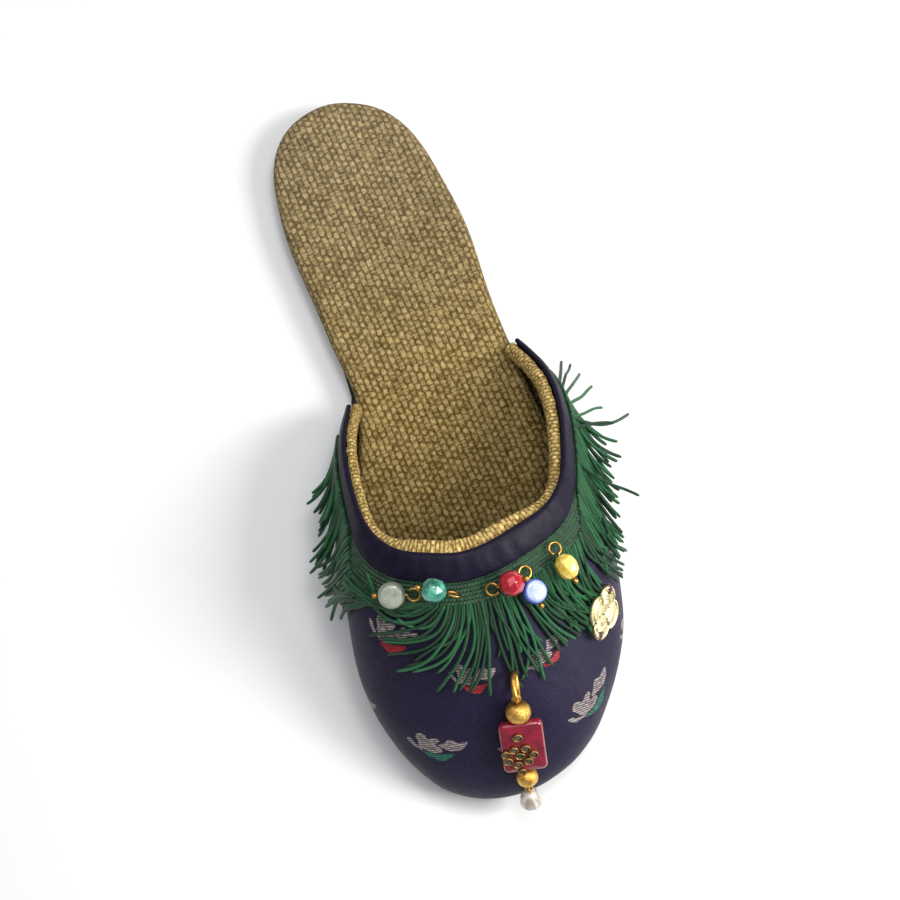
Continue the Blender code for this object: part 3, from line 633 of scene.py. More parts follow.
def burlap_cloth():
    """Coarse plain weave of uneven jute yarns. The field "weave" counts its yarns both ways."""
    n = Nodes("golden_burlap", rough=0.9)
    u, v, weave = n.fields("weave")
    ragged = n.noise(weave, 3.1, 3.0, 0.6) - 0.5
    u = u + (n.noise(weave, 0.5) - 0.5) * 0.6 + ragged * 0.28
    column = n.math("FLOOR", u)
    v = v + (n.noise(n.join(column * 5.3, v * 0.25, 4.0), 1.0) - 0.5) * 1.9
    v = v + (n.noise(n.scaled(weave, 1.7), 1.6, 3.0, 0.6) - 0.5) * 0.9
    row = n.math("FLOOR", v)
    # Each warp yarn floats over two weft yarns, one row later than its neighbour.
    pair = (v - n.math("FLOORED_MODULO", column, 2.0)) * 0.5
    float_row = n.math("FLOOR", pair)
    long_lot = n.random(column, float_row, 3.0)
    wide_lot = n.random(column, float_row, 8.0)
    slub = n.noise(n.join(column * 7.3, v * 0.3, 0.0), 1.0)
    middle = u - column - 0.5
    across = middle / (0.27 + 0.17 * wide_lot + 0.3 * (slub - 0.4))
    along = (pair - float_row - 0.5) * 2.0 / (0.5 + 0.44 * long_lot)
    along_square = along * along
    warp = n.highest(1.0 - across * across - along_square * along_square, 0.0)
    warp = n.math("POWER", warp, YARN_POWER) * (0.7 + 0.3 * wide_lot)
    weft_lot = n.random(column, row, 5.0)
    weft_side = (v - row - 0.5) / (0.22 + 0.24 * weft_lot)
    weft = n.math("POWER", n.highest(1.0 - weft_side * weft_side, 0.0), YARN_POWER)
    weft_height = weft * (0.4 + 0.5 * weft_lot) - middle * middle * (0.3 + 1.2 * weft_lot)
    is_warp = n.ease(warp - weft_height, -0.08, 0.16)
    height = n.highest(warp, weft_height, 0.0)
    fibre = n.noise(n.join(u * 3.4, v * 1.2, column), 1.0, 5.0, 0.8)
    weft_fibre = n.noise(n.join(u * 1.5, v * 3.4, row), 1.0, 5.0, 0.8)
    grain = fibre * is_warp + weft_fibre * (1.0 - is_warp)
    lot = n.random(column, float_row, 7.0) * is_warp + weft_lot * (1.0 - is_warp)
    # The tone rises with each yarn's height: painted highlight on the yarns' tops and painted shade in the
    # gaps between them.
    tone = height * 0.34 + (grain - 0.5) * 2.7 + lot * 0.3 + is_warp * 0.1 + 0.06
    colour = n.blend((100, 76, 28), (216, 188, 122), n.ease(tone, 0.0, 0.98))
    # Darker along the grooves between the warp yarns: painted shade.
    line = n.math("ROUND", u)
    line_lot = n.noise(n.join(line * 3.7, v * 0.4, 9.0), 1.0)
    groove = n.ease(n.math("ABSOLUTE", middle), 0.26, 0.5) * n.ease(line_lot, 0.22, 0.55)
    colour = n.scaled(colour, 1.0 - groove * 0.6)
    # The field's first number scales the colour: painted shade on the insole under the vamp, and painted
    # light on the lining's lip with painted shade down the lining. Its second makes the insole paler
    # towards the heel.
    wear_and_painted_shading, heel_paleness, _ = n.fields("wear_and_painted_shading")
    pale = n.scaled((255, 250, 240), n.ease(tone, 0.0, 0.92, 0.2, 0.5))
    colour = n.scaled(n.blend(colour, pale, heel_paleness * 0.2), wear_and_painted_shading)
    n.set({"Base Color": colour, "Specular IOR Level": 0.12})
    return n.relief(height * 0.26 + (grain - 0.5) * 1.1 - groove * 0.2)


def brocade_cloth():
    """Navy satin ground with woven flowers. The fields give how deep a point lies in each colour."""
    n = Nodes("navy_brocade")
    u, v, cloth = n.fields("cloth")
    rib_phase = v * (1.0 / RIB_PITCH) + (n.noise(cloth, 0.25) - 0.5) * 0.5
    ribs = ridge(n, rib_phase)
    rib = n.math("ROUND", rib_phase)
    thread = n.noise(n.join(u * 0.9, rib * 7.1, 0.0), 1.0, 3.0, 0.6)
    frayed = (n.noise(n.join(u * 0.6, rib * 9.7, 5.0), 1.0) - 0.5) * 0.9
    silver, red, green = [n.ease(n.field(name) + frayed, -0.12, 0.12) for name in WOVEN]
    vein = n.ease(n.math("ABSOLUTE", n.field("silver") - 1.35 + frayed * 0.5), 0.1, 0.34)
    fleck = n.ease(n.noise(n.join(u * 1.7, rib * 3.3, 9.0), 1.0), 0.62, 0.78)
    ground = n.blend((25, 21, 42), (36, 31, 60), n.ease(thread, 0.25, 0.8))
    ground = n.blend(ground, (52, 46, 78), fleck * 0.22)
    # The silver is lighter on the ribs' tops, a painted highlight, and varies with its threads.
    shine = n.ease(thread * 0.8 + ribs * 0.3, 0.35, 0.85)
    silver_thread = n.blend((94, 82, 84), (170, 158, 156), shine)
    silver_thread = n.blend((60, 52, 64), silver_thread, vein * 0.6 + 0.4)
    shine = n.ease(thread, 0.2, 0.85)
    red_thread = n.blend((118, 14, 30), (196, 44, 56), shine)
    green_thread = n.blend((10, 62, 52), (46, 134, 104), shine)
    colour = n.blend(ground, silver_thread, silver)
    colour = n.blend(colour, red_thread, red)
    colour = n.blend(colour, green_thread, green)
    figured = n.highest(silver, n.highest(red, green))
    # Darker between the ribs: a little painted shade in every groove, and more in the flowers, where the
    # navy ground shows between the floats.
    groove = n.ease(ribs, 0.0, 0.75)
    colour = n.scaled(colour, 1.0 - (1.0 - groove) * (0.12 + 0.5 * figured))
    n.set({"Base Color": colour, "Roughness": 0.5 - 0.1 * figured, "Specular IOR Level": 0.22})
    swell = n.noise(cloth, 0.07) * 0.6
    return n.relief(ribs * (0.03 + 0.13 * figured) + figured * 0.12 + thread * 0.07 + swell)


def satin_cloth():
    n = Nodes("navy_satin")
    along, across, _ = n.fields("strip")
    threads = n.noise(n.join(along * 0.5, across * 6.0, 0.0), 1.0, 3.0, 0.6)
    broad = n.noise(n.join(along * 0.35, across * 0.2, 3.0), 1.0)
    tint = n.ease(threads * 0.6 + broad * 0.5, 0.3, 0.8)
    n.set({
        "Base Color": n.blend((12, 8, 22), (25, 18, 42), tint),
        "Roughness": 0.42 + 0.14 * threads,
        "Specular IOR Level": 0.16,
    })
    return n.relief(threads * 0.04 + n.noise(n.join(along * 0.5, across * 0.3, 7.0), 1.0) * 0.2)


def tape_cloth():
    """The header of the fringe. The fields "column" and "row" count its cords and its stitches."""
    n = Nodes("green_tape")
    column = n.field("column")
    row = n.field("row")
    strands = n.noise(n.join(column * 6.0, row * 1.5, 0.0), 1.0, 3.0, 0.6)
    lot = n.random(n.math("ROUND", column), n.math("ROUND", row), 0.0)
    colour = n.blend((8, 39, 19), (27, 78, 40), n.ease(strands * 0.65 + 0.35 * lot, 0.2, 0.8))
    # Darker where the stitches sink, by the field "relief": painted shade between the stitches.
    groove = n.ease(n.field("relief"), 0.05, 0.7, 0.35, 1.0)
    n.set({"Base Color": n.scaled(colour, groove), **RAYON_SHEEN})
    return n.relief(strands * 0.2)


def cord_rayon():
    """Twisted rayon cords. "run" is the length from the header and "rim" the way round the cord."""
    n = Nodes("green_rayon_cord", rough=0.42)
    run = n.field("run")
    shade = n.field("shade")
    side, front, _ = n.fields("rim")
    turn = n.math("ARCTAN2", side, front) * (1.0 / (2.0 * math.pi))
    plies = ridge(n, run * (1.0 / PLY_PITCH) + turn * 2.0)
    fibre = n.noise(n.join(run * 2.2 + turn * 3.0, turn * 9.0, shade * 30.0), 1.0, 3.0, 0.6)
    colour = n.blend((10, 52, 27), (34, 102, 57), n.ease(fibre * 0.5 + shade * 0.6, 0.25, 0.85))
    # Darker in the grooves between the plies: painted shade.
    colour = n.scaled(colour, n.ease(plies, 0.0, 0.8, 0.5, 1.0))
    n.set({"Base Color": colour, "Specular IOR Level": 0.34, **RAYON_SHEEN})
    return n.relief(plies * 0.13 + fibre * 0.12)


def thread_cotton(name, dark, light):
    n = Nodes(name, rough=0.7)
    place = n.place()
    n.set({"Base Color": n.blend(dark, light, n.noise(place, 2.2, 3.0)), "Sheen Weight": 0.3})
    return n.relief(n.noise(place, 4.0) * 0.15)


def gold_metal(name, dark, light, rough, pitted):
    n = Nodes(name, metal=1.0)
    place = n.place()
    wear_and_painted_shading = n.noise(place, 0.6, 4.0, 0.6)
    n.set({
        "Base Color": n.blend(dark, light, n.ease(wear_and_painted_shading, 0.2, 0.8)),
        "Roughness": rough + 0.22 * n.noise(place, 1.4, 4.0, 0.65),
    })
    return n.relief(n.noise(place, 0.9, 3.0) * 0.12 + n.noise(place, 7.0) * pitted)


def clear_coat(weight, rough, inside):
    """Sockets of a coated body that lets a little light in, as glass and pearl do."""
    return {
        "Coat Weight": weight,
        "Coat Roughness": rough,
        "Subsurface Weight": inside,
        "Subsurface Radius": (2.0 * MM, 2.0 * MM, 2.0 * MM),
        "Subsurface Scale": 1.0,
    }


def bead_glass(name, dark, light, rough, cloud, deep=None):
    """Pressed glass with a little milk or pearl in it. A coin's rim may have a deeper colour."""
    n = Nodes(name)
    place = n.place()
    streak = n.noise(place, cloud, 4.0, 0.55)
    colour = n.blend(dark, light, n.ease(streak, 0.32, 0.68))
    if deep:
        colour = n.blend(colour, deep, n.ease(n.field("rim"), 0.72, 0.94))
    roughness = rough + 0.08 * n.noise(place, 1.8, 3.0)
    n.set({"Base Color": colour, "Roughness": roughness, "IOR": 1.52, **clear_coat(0.8, 0.03, 0.25)})
    return n.relief(n.noise(place, 0.5) * 0.08)


def nacre():
    """Soft pearl, with painted highlights in streaks that run down the drop."""
    n = Nodes("baroque_pearl")
    x, y, z = n.split(n.place())
    across = y * 0.83 - z * 0.56
    along = y * 0.56 + z * 0.83
    highlight_streaks = n.noise(n.join(x * 0.55, across * 0.55, along * 0.07), 1.0, 3.0)
    # The lighter streaks are painted highlights.
    colour = n.blend((164, 152, 138), (216, 208, 198), n.ease(highlight_streaks, 0.34, 0.64))
    roughness = 0.16 + 0.2 * n.noise(n.place(), 1.2, 3.0)
    n.set({"Base Color": colour, "Roughness": roughness, **clear_coat(0.7, 0.06, 0.2)})
    return n.relief(highlight_streaks * 0.5)


def sole_rubber():
    n = Nodes("dark_sole_rubber")
    place = n.place()
    fine = n.noise(place, 1.6, 5.0, 0.7)
    n.set({
        "Base Color": n.blend((24, 20, 22), (48, 42, 42), n.ease(fine, 0.3, 0.75)),
        "Roughness": 0.62 + 0.25 * n.noise(place, 0.15, 3.0),
    })
    return n.relief(fine * 0.25)


def floor_paper():
    n = Nodes("pale_floor", rough=0.85)
    n.set({"Base Color": n.blend((236, 236, 235), (242, 242, 241), n.noise(n.place(), 0.01, 3.0))})
    return n.material


# --- Insole, lining and binding -------------------------------------------------------------


def edge_ring(offset, count):
    """Points round the insole's edge, moved outward, with how far each lies from the heel end."""
    ring = pick(EDGE, np.linspace(0.0, 1.0, count, endpoint=False))
    outward = unit(ring[:, 2:])
    return ring[:, :2] + offset * outward, outward


INSOLE_YARNS = (2.3, 1.35)
LINING_YARNS = (1.6, 0.95)
WEAVE_TURN = 0.19


def jute_counts(flat):
    """Where a point of flat cloth lies in the insole's weave, counted in yarns."""
    x, y = flat.T
    straight = math.sqrt(1.0 - WEAVE_TURN**2)
    ways = (straight * x + WEAVE_TURN * y, WEAVE_TURN * x - straight * y)
    return np.column_stack(ways) / INSOLE_YARNS


def on_strip(run, far):
    """Points of a strip laid flat: the run along it, and one distance across it."""
    return np.column_stack([run, np.full_like(run, far)])


def insole_height(points):
    """Height of the insole's top, a little dented where a foot would press."""
    s = HEEL_Y - points[:, 1]
    forward = ease((s - 205.0) / 50.0)
    top = INSOLE_TOP - 3.6 * forward + toe_spring(s)
    heel_dent = np.exp(-(((s - 36.0) / 30.0) ** 2) - ((points[:, 0] - 0.5) / 20.0) ** 2)
    slack = waves(points[:, :2], 34.0, 5) * 0.28
    return top - 0.7 * heel_dent + slack


INSOLE_SIDE = (
    # inset from the edge, share of the thickness below the top
    (1.6, 1.0),
    (0.45, 0.86),
    (0.12, 0.66),
    (0.05, 0.46),
    (0.3, 0.27),
    (0.85, 0.13),
    (1.7, 0.045),
    (2.9, 0.0),
)
# Cloth from the insole's upper edge down to its lower one, and its height over the outsole.
SIDE_CLOTH = 7.0
INSOLE_GAP = 0.05
INSOLE_MIDDLE = (
    # along the shoe, across it
    (-118.0, 5.0),
    (-70.0, 11.0),
    (0.0, 9.5),
    (40.0, 3.0),
    (122.0, -3.5),
)


def make_insole(surface):
    """Padded board wrapped in burlap, its edge rounded."""
    around = 520
    top = insole_height(edge_ring(-3.0, around)[0])
    rings = []
    counts = []
    for inset, below in INSOLE_SIDE:
        flat, outward = edge_ring(-inset, around)
        base = INSOLE_BASE + INSOLE_GAP + toe_spring(HEEL_Y - flat[:, 1])
        height = top - below * (top - base)
        wave = waves(np.column_stack([flat, height]), 9.0, 6) * 0.12
        rings.append(np.column_stack([flat, height + wave]))
        counts.append(jute_counts(flat + SIDE_CLOTH * below * outward))
    # The top closes from its rim to a line down the middle.
    rim = flat
    middle_y, middle_x = np.array(INSOLE_MIDDLE).T
    y = np.clip(rim[:, 1], middle_y[0], middle_y[-1])
    spine = np.column_stack([np.interp(y, middle_y, middle_x), y])
    for share in np.linspace(0.06, 1.0, 46):
        flat = rim + share * (spine - rim)
        rings.append(np.column_stack([flat, insole_height(flat)]))
        counts.append(jute_counts(flat))
    # It is darker under the vamp, painted shade, and paler towards the heel.
    points = np.vstack(rings)
    s = HEEL_Y - points[:, 1]
    shade = 0.98 - 0.46 * ease((s - 130.0) / 80.0) + 0.08 * waves(points[:, :2], 60.0, 9)
    heel_paleness = 1.0 - ease((s - 10.0) / 130.0)
    fields = {"weave": counts, "wear_and_painted_shading": np.column_stack([shade, heel_paleness])}
    piece = add_sheet("insole_burlap", rings, surface, ("insole",), "burlap", fields, closed=True)


LINING = (
    # down from the collar edge, depth inside the cloth
    (-0.1, -1.2),
    (-0.9, -1.5),
    (-1.5, -2.3),
    (-1.6, -3.3),
    (-1.0, -4.3),
    (0.4, -5.1),
    (2.2, -5.4),
    (4.6, -5.0),
    (7.4, -4.1),
    (11.0, -3.2),
    (16.0, -2.8),
    (24.0, -2.6),
    (36.0, -2.6),
    (50.0, -2.6),
    (66.0, -2.6),
    (86.0, -2.6),
)


def make_lining(surface):
    """Burlap lining, which stands up as a padded lip inside the collar and runs down to the insole."""
    places = np.linspace(-1.0, 1.0, 401)
    profile = evenly(np.array(LINING), 90)
    length = wall_length(places)
    side = np.interp(places, [-1.0, -0.45, 0.0, 0.45, 1.0], [1.24, 1.24, 1.08, 0.95, 0.92])
    run = collar_run(places)
    rows = []
    counts = []
    for (down, depth), far in zip(profile, lengths_along(profile)):
        lip = 1.0 - ease((down - 2.0) / 8.0)
        depth_here = depth * (1.0 + (side - 1.0) * lip)
        distance = np.minimum(down, length - 0.6)
        point = on_wall(places, distance, depth_here)
        bumps = waves(on_strip(run, far), 4.6, 8) * 0.24
        _, down_way, out = wall_axes(places, np.clip(distance, 0.0, None))
        swell = 3.9 * math.exp(-(((depth + 4.0) / 1.9) ** 2)) * (1.0 - ease((down - 0.5) / 4.0))
        beyond = swell * (1.0 - ease((np.abs(places) - 0.12) / 0.3))
        point = point - beyond[:, None] * down_way
        rows.append(point + (bumps * (1.0 - 0.7 * ease(down / 10.0)))[:, None] * out)
        counts.append(on_strip(run, far) / LINING_YARNS)
    # Painted light makes the lip lighter, and painted shade makes the lining below it darker.
    shade = 1.74 - 1.19 * ease((np.repeat(profile[:, 0], len(places)) + 1.0) / 11.0)
    fields = {"weave": counts, "wear_and_painted_shading": np.column_stack([shade, 0.0 * shade])}
    add_sheet("lining_burlap", rows, surface, (), "burlap", fields, inner=True)


BINDING = (
    # down from the collar edge, height off the cloth, height over the edge
    (8.35, 0.1, 0.0),
    (8.3, 0.85, 0.0),
    (7.7, 1.35, 0.0),
    (6.6, 1.6, 0.0),
    (5.0, 1.72, 0.0),
    (3.4, 1.72, 0.0),
    (2.0, 1.62, 0.1),
    (0.9, 1.5, 0.3),
    (0.1, 1.2, 0.9),
    (0.0, 0.75, 1.45),
    (0.0, 0.1, 1.75),
    (0.0, -0.55, 1.75),
    (0.0, -1.05, 1.4),
    (0.0, -1.35, 0.8),
    (0.4, -1.5, 0.0),
)
BINDING_FOOT = 4.6


def make_binding(surface):
    """Satin strip sewn over the collar edge, slimmer at the sides, puckered where it turns."""
    places = np.linspace(-1.0, 1.0, 1101)
    run = collar_run(places)
    profile = evenly(np.array(BINDING), 26)
    slim = ease((np.abs(places) - 0.2) / 0.25)
    thin = 1.0 - 0.35 * slim
    turning = np.exp(-(((places - 0.16) / 0.2) ** 2)) + np.exp(-(((places + 0.28) / 0.22) ** 2))
    rows = []
    strip = []
    for (down, off, over), far in zip(profile, lengths_along(profile)):
        spot = on_strip(run, far * 0.33)
        pucker = waves(spot, 4.2, 21, 9) * (0.08 + 0.2 * turning)
        pull = waves(spot, 13.0, 22) * 0.12
        edge = ease((down - 6.6) / 1.5)
        flat_part = 1.0 if down > 0.3 else 0.5
        lift = off * thin + (pucker + pull) * flat_part * (1.0 - 0.6 * edge) * thin
        wander = waves(on_strip(run, 0.0), 17.0, 23) * 0.22 * edge
        distance = down * (1.0 - 0.2 * slim) + wander
        _, down_way, _ = wall_axes(places, np.clip(distance, 0.0, None))
        points = on_wall(places, distance, lift) - (over * thin)[:, None] * down_way
        points[:, 2] = np.maximum(points[:, 2], BINDING_FOOT)
        rows.append(points)
        strip.append(on_strip(run, far))
    add_sheet("collar_satin", rows, surface, ("collar_binding",), "satin", {"strip": strip})


# --- Brocade --------------------------------------------------------------------------------

# Woven flower, in millimetres: to the right, and down towards the toe.
FLOWER_PETALS = (
    ((-3.9, -3.4), (-3.2, -5.0), (-1.2, -5.3), (-0.1, -4.1), (0.3, -2.9), (2.0, -3.3), (4.3, -3.0),
     (4.1, -1.8), (2.3, -0.6), (4.2, 0.7), (4.9, 2.2), (3.6, 3.0), (1.0, 2.8), (-1.8, 1.6),
     (-3.3, -0.1), (-3.3, -1.8)),
    ((-7.3, -2.9), (-6.3, -3.1), (-4.9, -1.2), (-3.4, 0.6), (-1.8, 2.0), (-3.7, 1.5), (-5.9, -0.1),
     (-6.9, -1.6)),
    ((3.6, -0.4), (5.6, -1.2), (7.2, -2.7), (9.0, -2.5), (10.7, -1.5), (13.8, -1.6), (12.6, 0.6),
     (10.4, 2.0), (7.6, 1.9), (5.4, 0.9)),
)
FLOWER_BED = ((-3.1, 1.3), (-1.0, 2.6), (1.8, 3.4), (4.6, 3.5), (9.4, 3.3), (7.3, 4.8), (5.2, 6.5),
              (3.0, 6.3), (0.4, 5.2), (-1.8, 3.4))
FLOWER_REACH = 18.0
NO_FLOWER = -4.0
FLOWER_GAP = 0.25

FLOWERS = (
    # colour, place, distance from the collar, turn in degrees, width, height
    ("red", 0.217, 28.2, -1.0, 0.87, 1.15),
    ("red", 0.029, 41.7, 1.0, 0.75, 1.0),
    ("red", -0.104, 43.3, 32.0, 0.75, 0.85),
    ("green", 0.152, 68.9, 0.0, 1.03, 0.92),
    ("green", -0.017, 71.0, 12.0, 0.73, 1.0),
    ("green", -0.167, 69.1, 27.5, 1.08, 1.0),
    ("green", 0.385, 66.0, 0.0, 1.0, 1.0),
    ("red", 0.49, 37.0, 0.0, 1.0, 1.0),
    ("green", 0.64, 46.0, 0.0, 1.0, 1.0),
    ("red", 0.8, 24.0, -10.0, 0.95, 0.95),
    ("red", -0.375, 61.0, 20.0, 0.95, 0.95),
    ("green", -0.5, 36.0, 30.0, 1.0, 1.0),
    ("red", -0.62, 46.0, 30.0, 1.0, 1.0),
    ("green", -0.79, 23.0, 30.0, 0.95, 0.95),
)


def inside_depth(points, corners):
    """How far each point lies inside a smooth outline through the corners, negative outside."""
    rim = evenly(spline(corners, True, 0.5), 72)
    start = rim[:-1][None]
    step = rim[1:][None] - start
    offset = points[:, None] - start
    share = np.clip((offset * step).sum(-1) / np.maximum((step * step).sum(-1), 1e-9), 0.0, 1.0)
    distance = np.linalg.norm(offset - share[..., None] * step, axis=-1).min(axis=1)
    y = points[:, 1:2]
    above = (rim[None, :-1, 1] > y) != (rim[None, 1:, 1] > y)
    rise = rim[1:, 1] - rim[:-1, 1]
    rise = np.where(np.abs(rise) < 1e-9, 1e-9, rise)
    crossing = rim[:-1, 0] + (y - rim[:-1, 1]) / rise * (rim[1:, 0] - rim[:-1, 0])
    inside = (above & (points[:, :1] < crossing)).sum(axis=1) % 2 == 1
    return np.where(inside, distance, -distance)


VAMP_TOP = 2.5
VAMP_TURN_IN = ((0.25, 0.12), (1.2, 0.16), (2.3, 0.1))


def unrolled(place, distance):
    """The vamp laid flat: its cloth runs straight along the shoe from heel to toe."""
    collar = sample(WALL_POINTS, place, 0.0 * place)[..., :2]
    foot = sample(WALL_POINTS, place, 0.0 * place + 1.0)[..., :2]
    way = unit(foot - collar + 12.0 * unit(foot - np.array([10.0, -40.0])))
    return collar + way * distance[..., None]


def flower_fields(points):
    """How deep each point of the vamp lies in the flowers' threads, by colour."""
    fields = {name: np.full(len(points), NO_FLOWER) for name in WOVEN}
    for colour, place, distance, turn, wide, high in FLOWERS:
        middle, across, ahead, _ = one_spot(place, distance)
        offset = points - middle
        near = np.linalg.norm(offset, axis=1) < FLOWER_REACH
        lateral = -offset[near] @ across
        heelward = -offset[near] @ ahead
        angle = math.radians(turn)
        right = (lateral * math.cos(angle) + heelward * math.sin(angle)) / wide
        down = (lateral * math.sin(angle) - heelward * math.cos(angle)) / high
        local = np.column_stack([right, down])
        shapes = [("silver", petal) for petal in FLOWER_PETALS]
        for name, corners in (*shapes, (colour, FLOWER_BED)):
            fields[name][near] = np.maximum(fields[name][near], inside_depth(local, corners))
    for name in ("red", "green"):
        fields[name] = np.minimum(fields[name], -FLOWER_GAP - fields["silver"])
    return fields


def make_vamp(surface):
    """The brocade, from under the binding down to the sole, where its edge turns in."""
    places = np.linspace(-1.0, 1.0, 521)
    length = wall_length(places)
    rows = []
    cloth = []
    for share in np.linspace(0.0, 1.0, 138):
        distance = VAMP_TOP + share * (length - VAMP_TOP)
        flat = unrolled(places, distance)
        slack = waves(flat, 21.0, 31) * 0.22 + waves(flat, 48.0, 32) * 0.3
        fixed = ease(share / 0.08) * ease((1.0 - share) / 0.06)
        rows.append(on_wall(places, distance, slack * fixed - 0.05))
        cloth.append(flat)
    bottom = rows[-1]
    _, _, out = wall_axes(places, length)
    level = unit(out * np.array([1.0, 1.0, 0.0]))
    for tuck, drop in VAMP_TURN_IN:
        rows.append(bottom - tuck * level - drop * UP)
        cloth.append(flat + tuck * level[:, :2])
    fields = {"cloth": cloth, **flower_fields(np.vstack(rows))}
    add_sheet("vamp_brocade", rows, surface, ("upper",), "brocade", fields)


# --- Fringe ---------------------------------------------------------------------------------

CORD_PITCH = 1.2
UNDER_PITCH = 2.1
CORD_RADIUS = 0.6
CORD_FOOT = 1.1
CORD_UNDER_HEADER = 1.2
CORD_OVER_HEADER = 8.9
HEADER_LIFT_OFF = 0.95
UNDER_LIFT = 1.0
UNDER_LAYER = -0.15
STRAY_LAYER = 1.6

FRINGE_SWEEP = (
    # place, side angle at the header and at the tips, lift angle at the tips, length
    # (a side angle is 0 straight down the wall, and positive to the medial side)
    (-0.86, 10.0, -20.0, 30.0, 19.0),
    (-0.76, 26.0, 0.0, 32.0, 22.0),
    (-0.66, 42.0, 18.0, 28.0, 25.0),
    (-0.5, 40.0, 8.0, 22.0, 27.0),
    (-0.36, 22.0, -14.0, 12.0, 29.0),
    (-0.24, 8.0, -24.0, 6.0, 30.0),
    (-0.14, -4.0, -22.0, 3.0, 31.0),
    (-0.11, -3.0, -8.0, 3.0, 31.0),
    (-0.08, 2.0, 2.0, 3.0, 31.0),
    (-0.03, 1.0, 12.0, 3.0, 31.0),
    (0.0, 4.0, 46.0, 3.0, 31.0),
    (0.02, 8.0, 68.0, 3.0, 31.0),
    (0.045, 18.0, 94.0, 3.0, 30.0),
    (0.07, 44.0, 108.0, 3.0, 29.0),
    (0.12, 74.0, 112.0, 3.0, 28.0),
    (0.17, 76.0, 94.0, 3.0, 28.0),
    (0.24, 58.0, 64.0, 8.0, 27.0),
    (0.32, 36.0, 44.0, 18.0, 26.0),
    (0.44, 14.0, 26.0, 32.0, 26.0),
    (0.58, -14.0, 0.0, 38.0, 25.0),
    (0.72, -34.0, -18.0, 36.0, 23.0),
    (0.86, -42.0, -26.0, 30.0, 19.0),
)

STRAYS = (
    # place, side angle at the header and at the tip, lift angle at the tip, length
    (-0.79, -84.0, -86.0, 34.0, 17.0),
    (-0.77, -80.0, -82.0, 42.0, 18.0),
    (-0.74, -78.0, -74.0, 46.0, 20.0),
    (-0.7, -72.0, -70.0, 50.0, 19.0),
    (-0.66, -6.0, -64.0, 62.0, 27.0),
    (-0.655, -56.0, -62.0, 50.0, 15.0),
    (-0.62, -40.0, -60.0, 56.0, 15.0),
    (-0.5, 16.0, -16.0, 40.0, 24.0),
)


def at_side(place):
    """From 0 at the front of the fringe to 1 at the shoe's sides."""
    return ease((np.abs(place) - 0.3) / 0.12)


def even_places(distance, pitch):
    """Places a pitch apart along the fringe, at one distance from the collar."""
    run = round_lengths(distance)
    ends = np.interp([-FRINGE_END, FRINGE_END], WALL_PLACES, run)
    count = int((ends[1] - ends[0]) / pitch)
    return np.interp(ends[0] + (np.arange(count) + 0.5) * pitch, run, WALL_PLACES)


def lay_cords(cords, curl, soon):
    """Middles of cords that start at the header and lie down the vamp."""
    place, start_angle, end_angle, end_lift, lengths, layer = cords
    bend, phase, tip = curl
    # At the front they hang from under the header, and at the sides they lie over it.
    over = at_side(place)
    distance = HEADER_BOTTOM - CORD_UNDER_HEADER - CORD_OVER_HEADER * over
    lift = HEADER_LIFT_OFF + 0.5 * over
    path = [on_wall(place, distance, lift)]
    steps = 16
    step = lengths / steps
    small = 0.004
    for k in range(steps):
        t = (k + 0.5) / steps
        wobble = bend * math.sin(math.pi * t) * np.sin(2.0 * math.pi * t + phase) + tip * t**3
        side = np.radians(start_angle + (end_angle - start_angle) * ease(t * 1.1) + wobble)
        rise = np.radians(end_lift * t**soon)
        inside = np.clip(place, -0.985, 0.985)
        across, down, _ = wall_axes(inside, distance)
        ahead = on_wall(np.minimum(inside + small, 1.0), distance)
        behind = on_wall(np.maximum(inside - small, -1.0), distance)
        round_way = (ahead - behind) / (2.0 * small)
        along_across = np.maximum((round_way * across).sum(axis=1), 20.0)
        along_down = (round_way * down).sum(axis=1)
        flat = np.cos(rise) * step
        turn = flat * np.sin(side) / along_across
        place = np.clip(place + turn, -0.99, 0.99)
        distance = distance + flat * np.cos(side) - turn * along_down
        settle = math.sin(math.pi * min(2.0 * t, 1.0)) if t < 0.5 else 1.0
        lift = lift + np.sin(rise) * step + layer * settle * step / lengths
        path.append(on_wall(place, distance, lift))
    return np.stack(path, axis=1)


def bunched(count):
    """How the cords of each bunch sway, stand up and draw together."""
    run = np.arange(count) * CORD_PITCH
    sway, height, pull = np.zeros((3, count))
    first = 0
    while first < count:
        size = int(RNG.integers(3, 10))
        members = slice(first, min(first + size, count))
        sway[members] = RNG.normal(0.0, 1.0)
        height[members] = RNG.uniform(-0.2, 1.5)
        pull[members] = run[members].mean() - run[members]
        first += size
    return sway, height, pull


def noisy(values, spread):
    return values + spread * RNG.normal(size=len(values))


def top_cords():
    """The bunched upper cords: place, side angles, lift, length and height of each."""
    places = even_places(HEADER_BOTTOM, CORD_PITCH)
    count = len(places)
    swept = [from_table(places, FRINGE_SWEEP, k) for k in (1, 2, 3, 4)]
    start_angle, end_angle, end_lift, length = swept
    sway, height, pull = bunched(count)
    together = RNG.uniform(0.4, 1.15, count)
    length = length * (1.0 + 0.045 * RNG.normal(size=count)) + 1.3 * sway
    gather = np.degrees(pull * together / length) * 1.6
    end_angle = noisy(end_angle + gather + 8.0 * sway, 6.0)
    start_angle = noisy(start_angle + 2.0 * sway, 1.8)
    end_lift = np.clip(end_lift * noisy(1.0 + 0.35 * sway, 0.3), 0.0, 60.0)
    layer = height + RNG.uniform(-0.3, 0.5, count)
    return np.stack([places, start_angle, end_angle, end_lift, length, layer])


def under_cords():
    """Shorter cords, which lie close to the vamp under the bunches."""
    places = even_places(HEADER_BOTTOM, UNDER_PITCH)
    count = len(places)
    start_angle, end_angle, length = [from_table(places, FRINGE_SWEEP, k) for k in (1, 2, 4)]
    start_angle = noisy(start_angle, 3.0)
    end_angle = noisy(end_angle, 9.0)
    length = length * RNG.uniform(0.6, 1.0, count)
    level = np.full(count, UNDER_LIFT)
    return np.stack([places, start_angle, end_angle, level, length, np.full(count, UNDER_LAYER)])


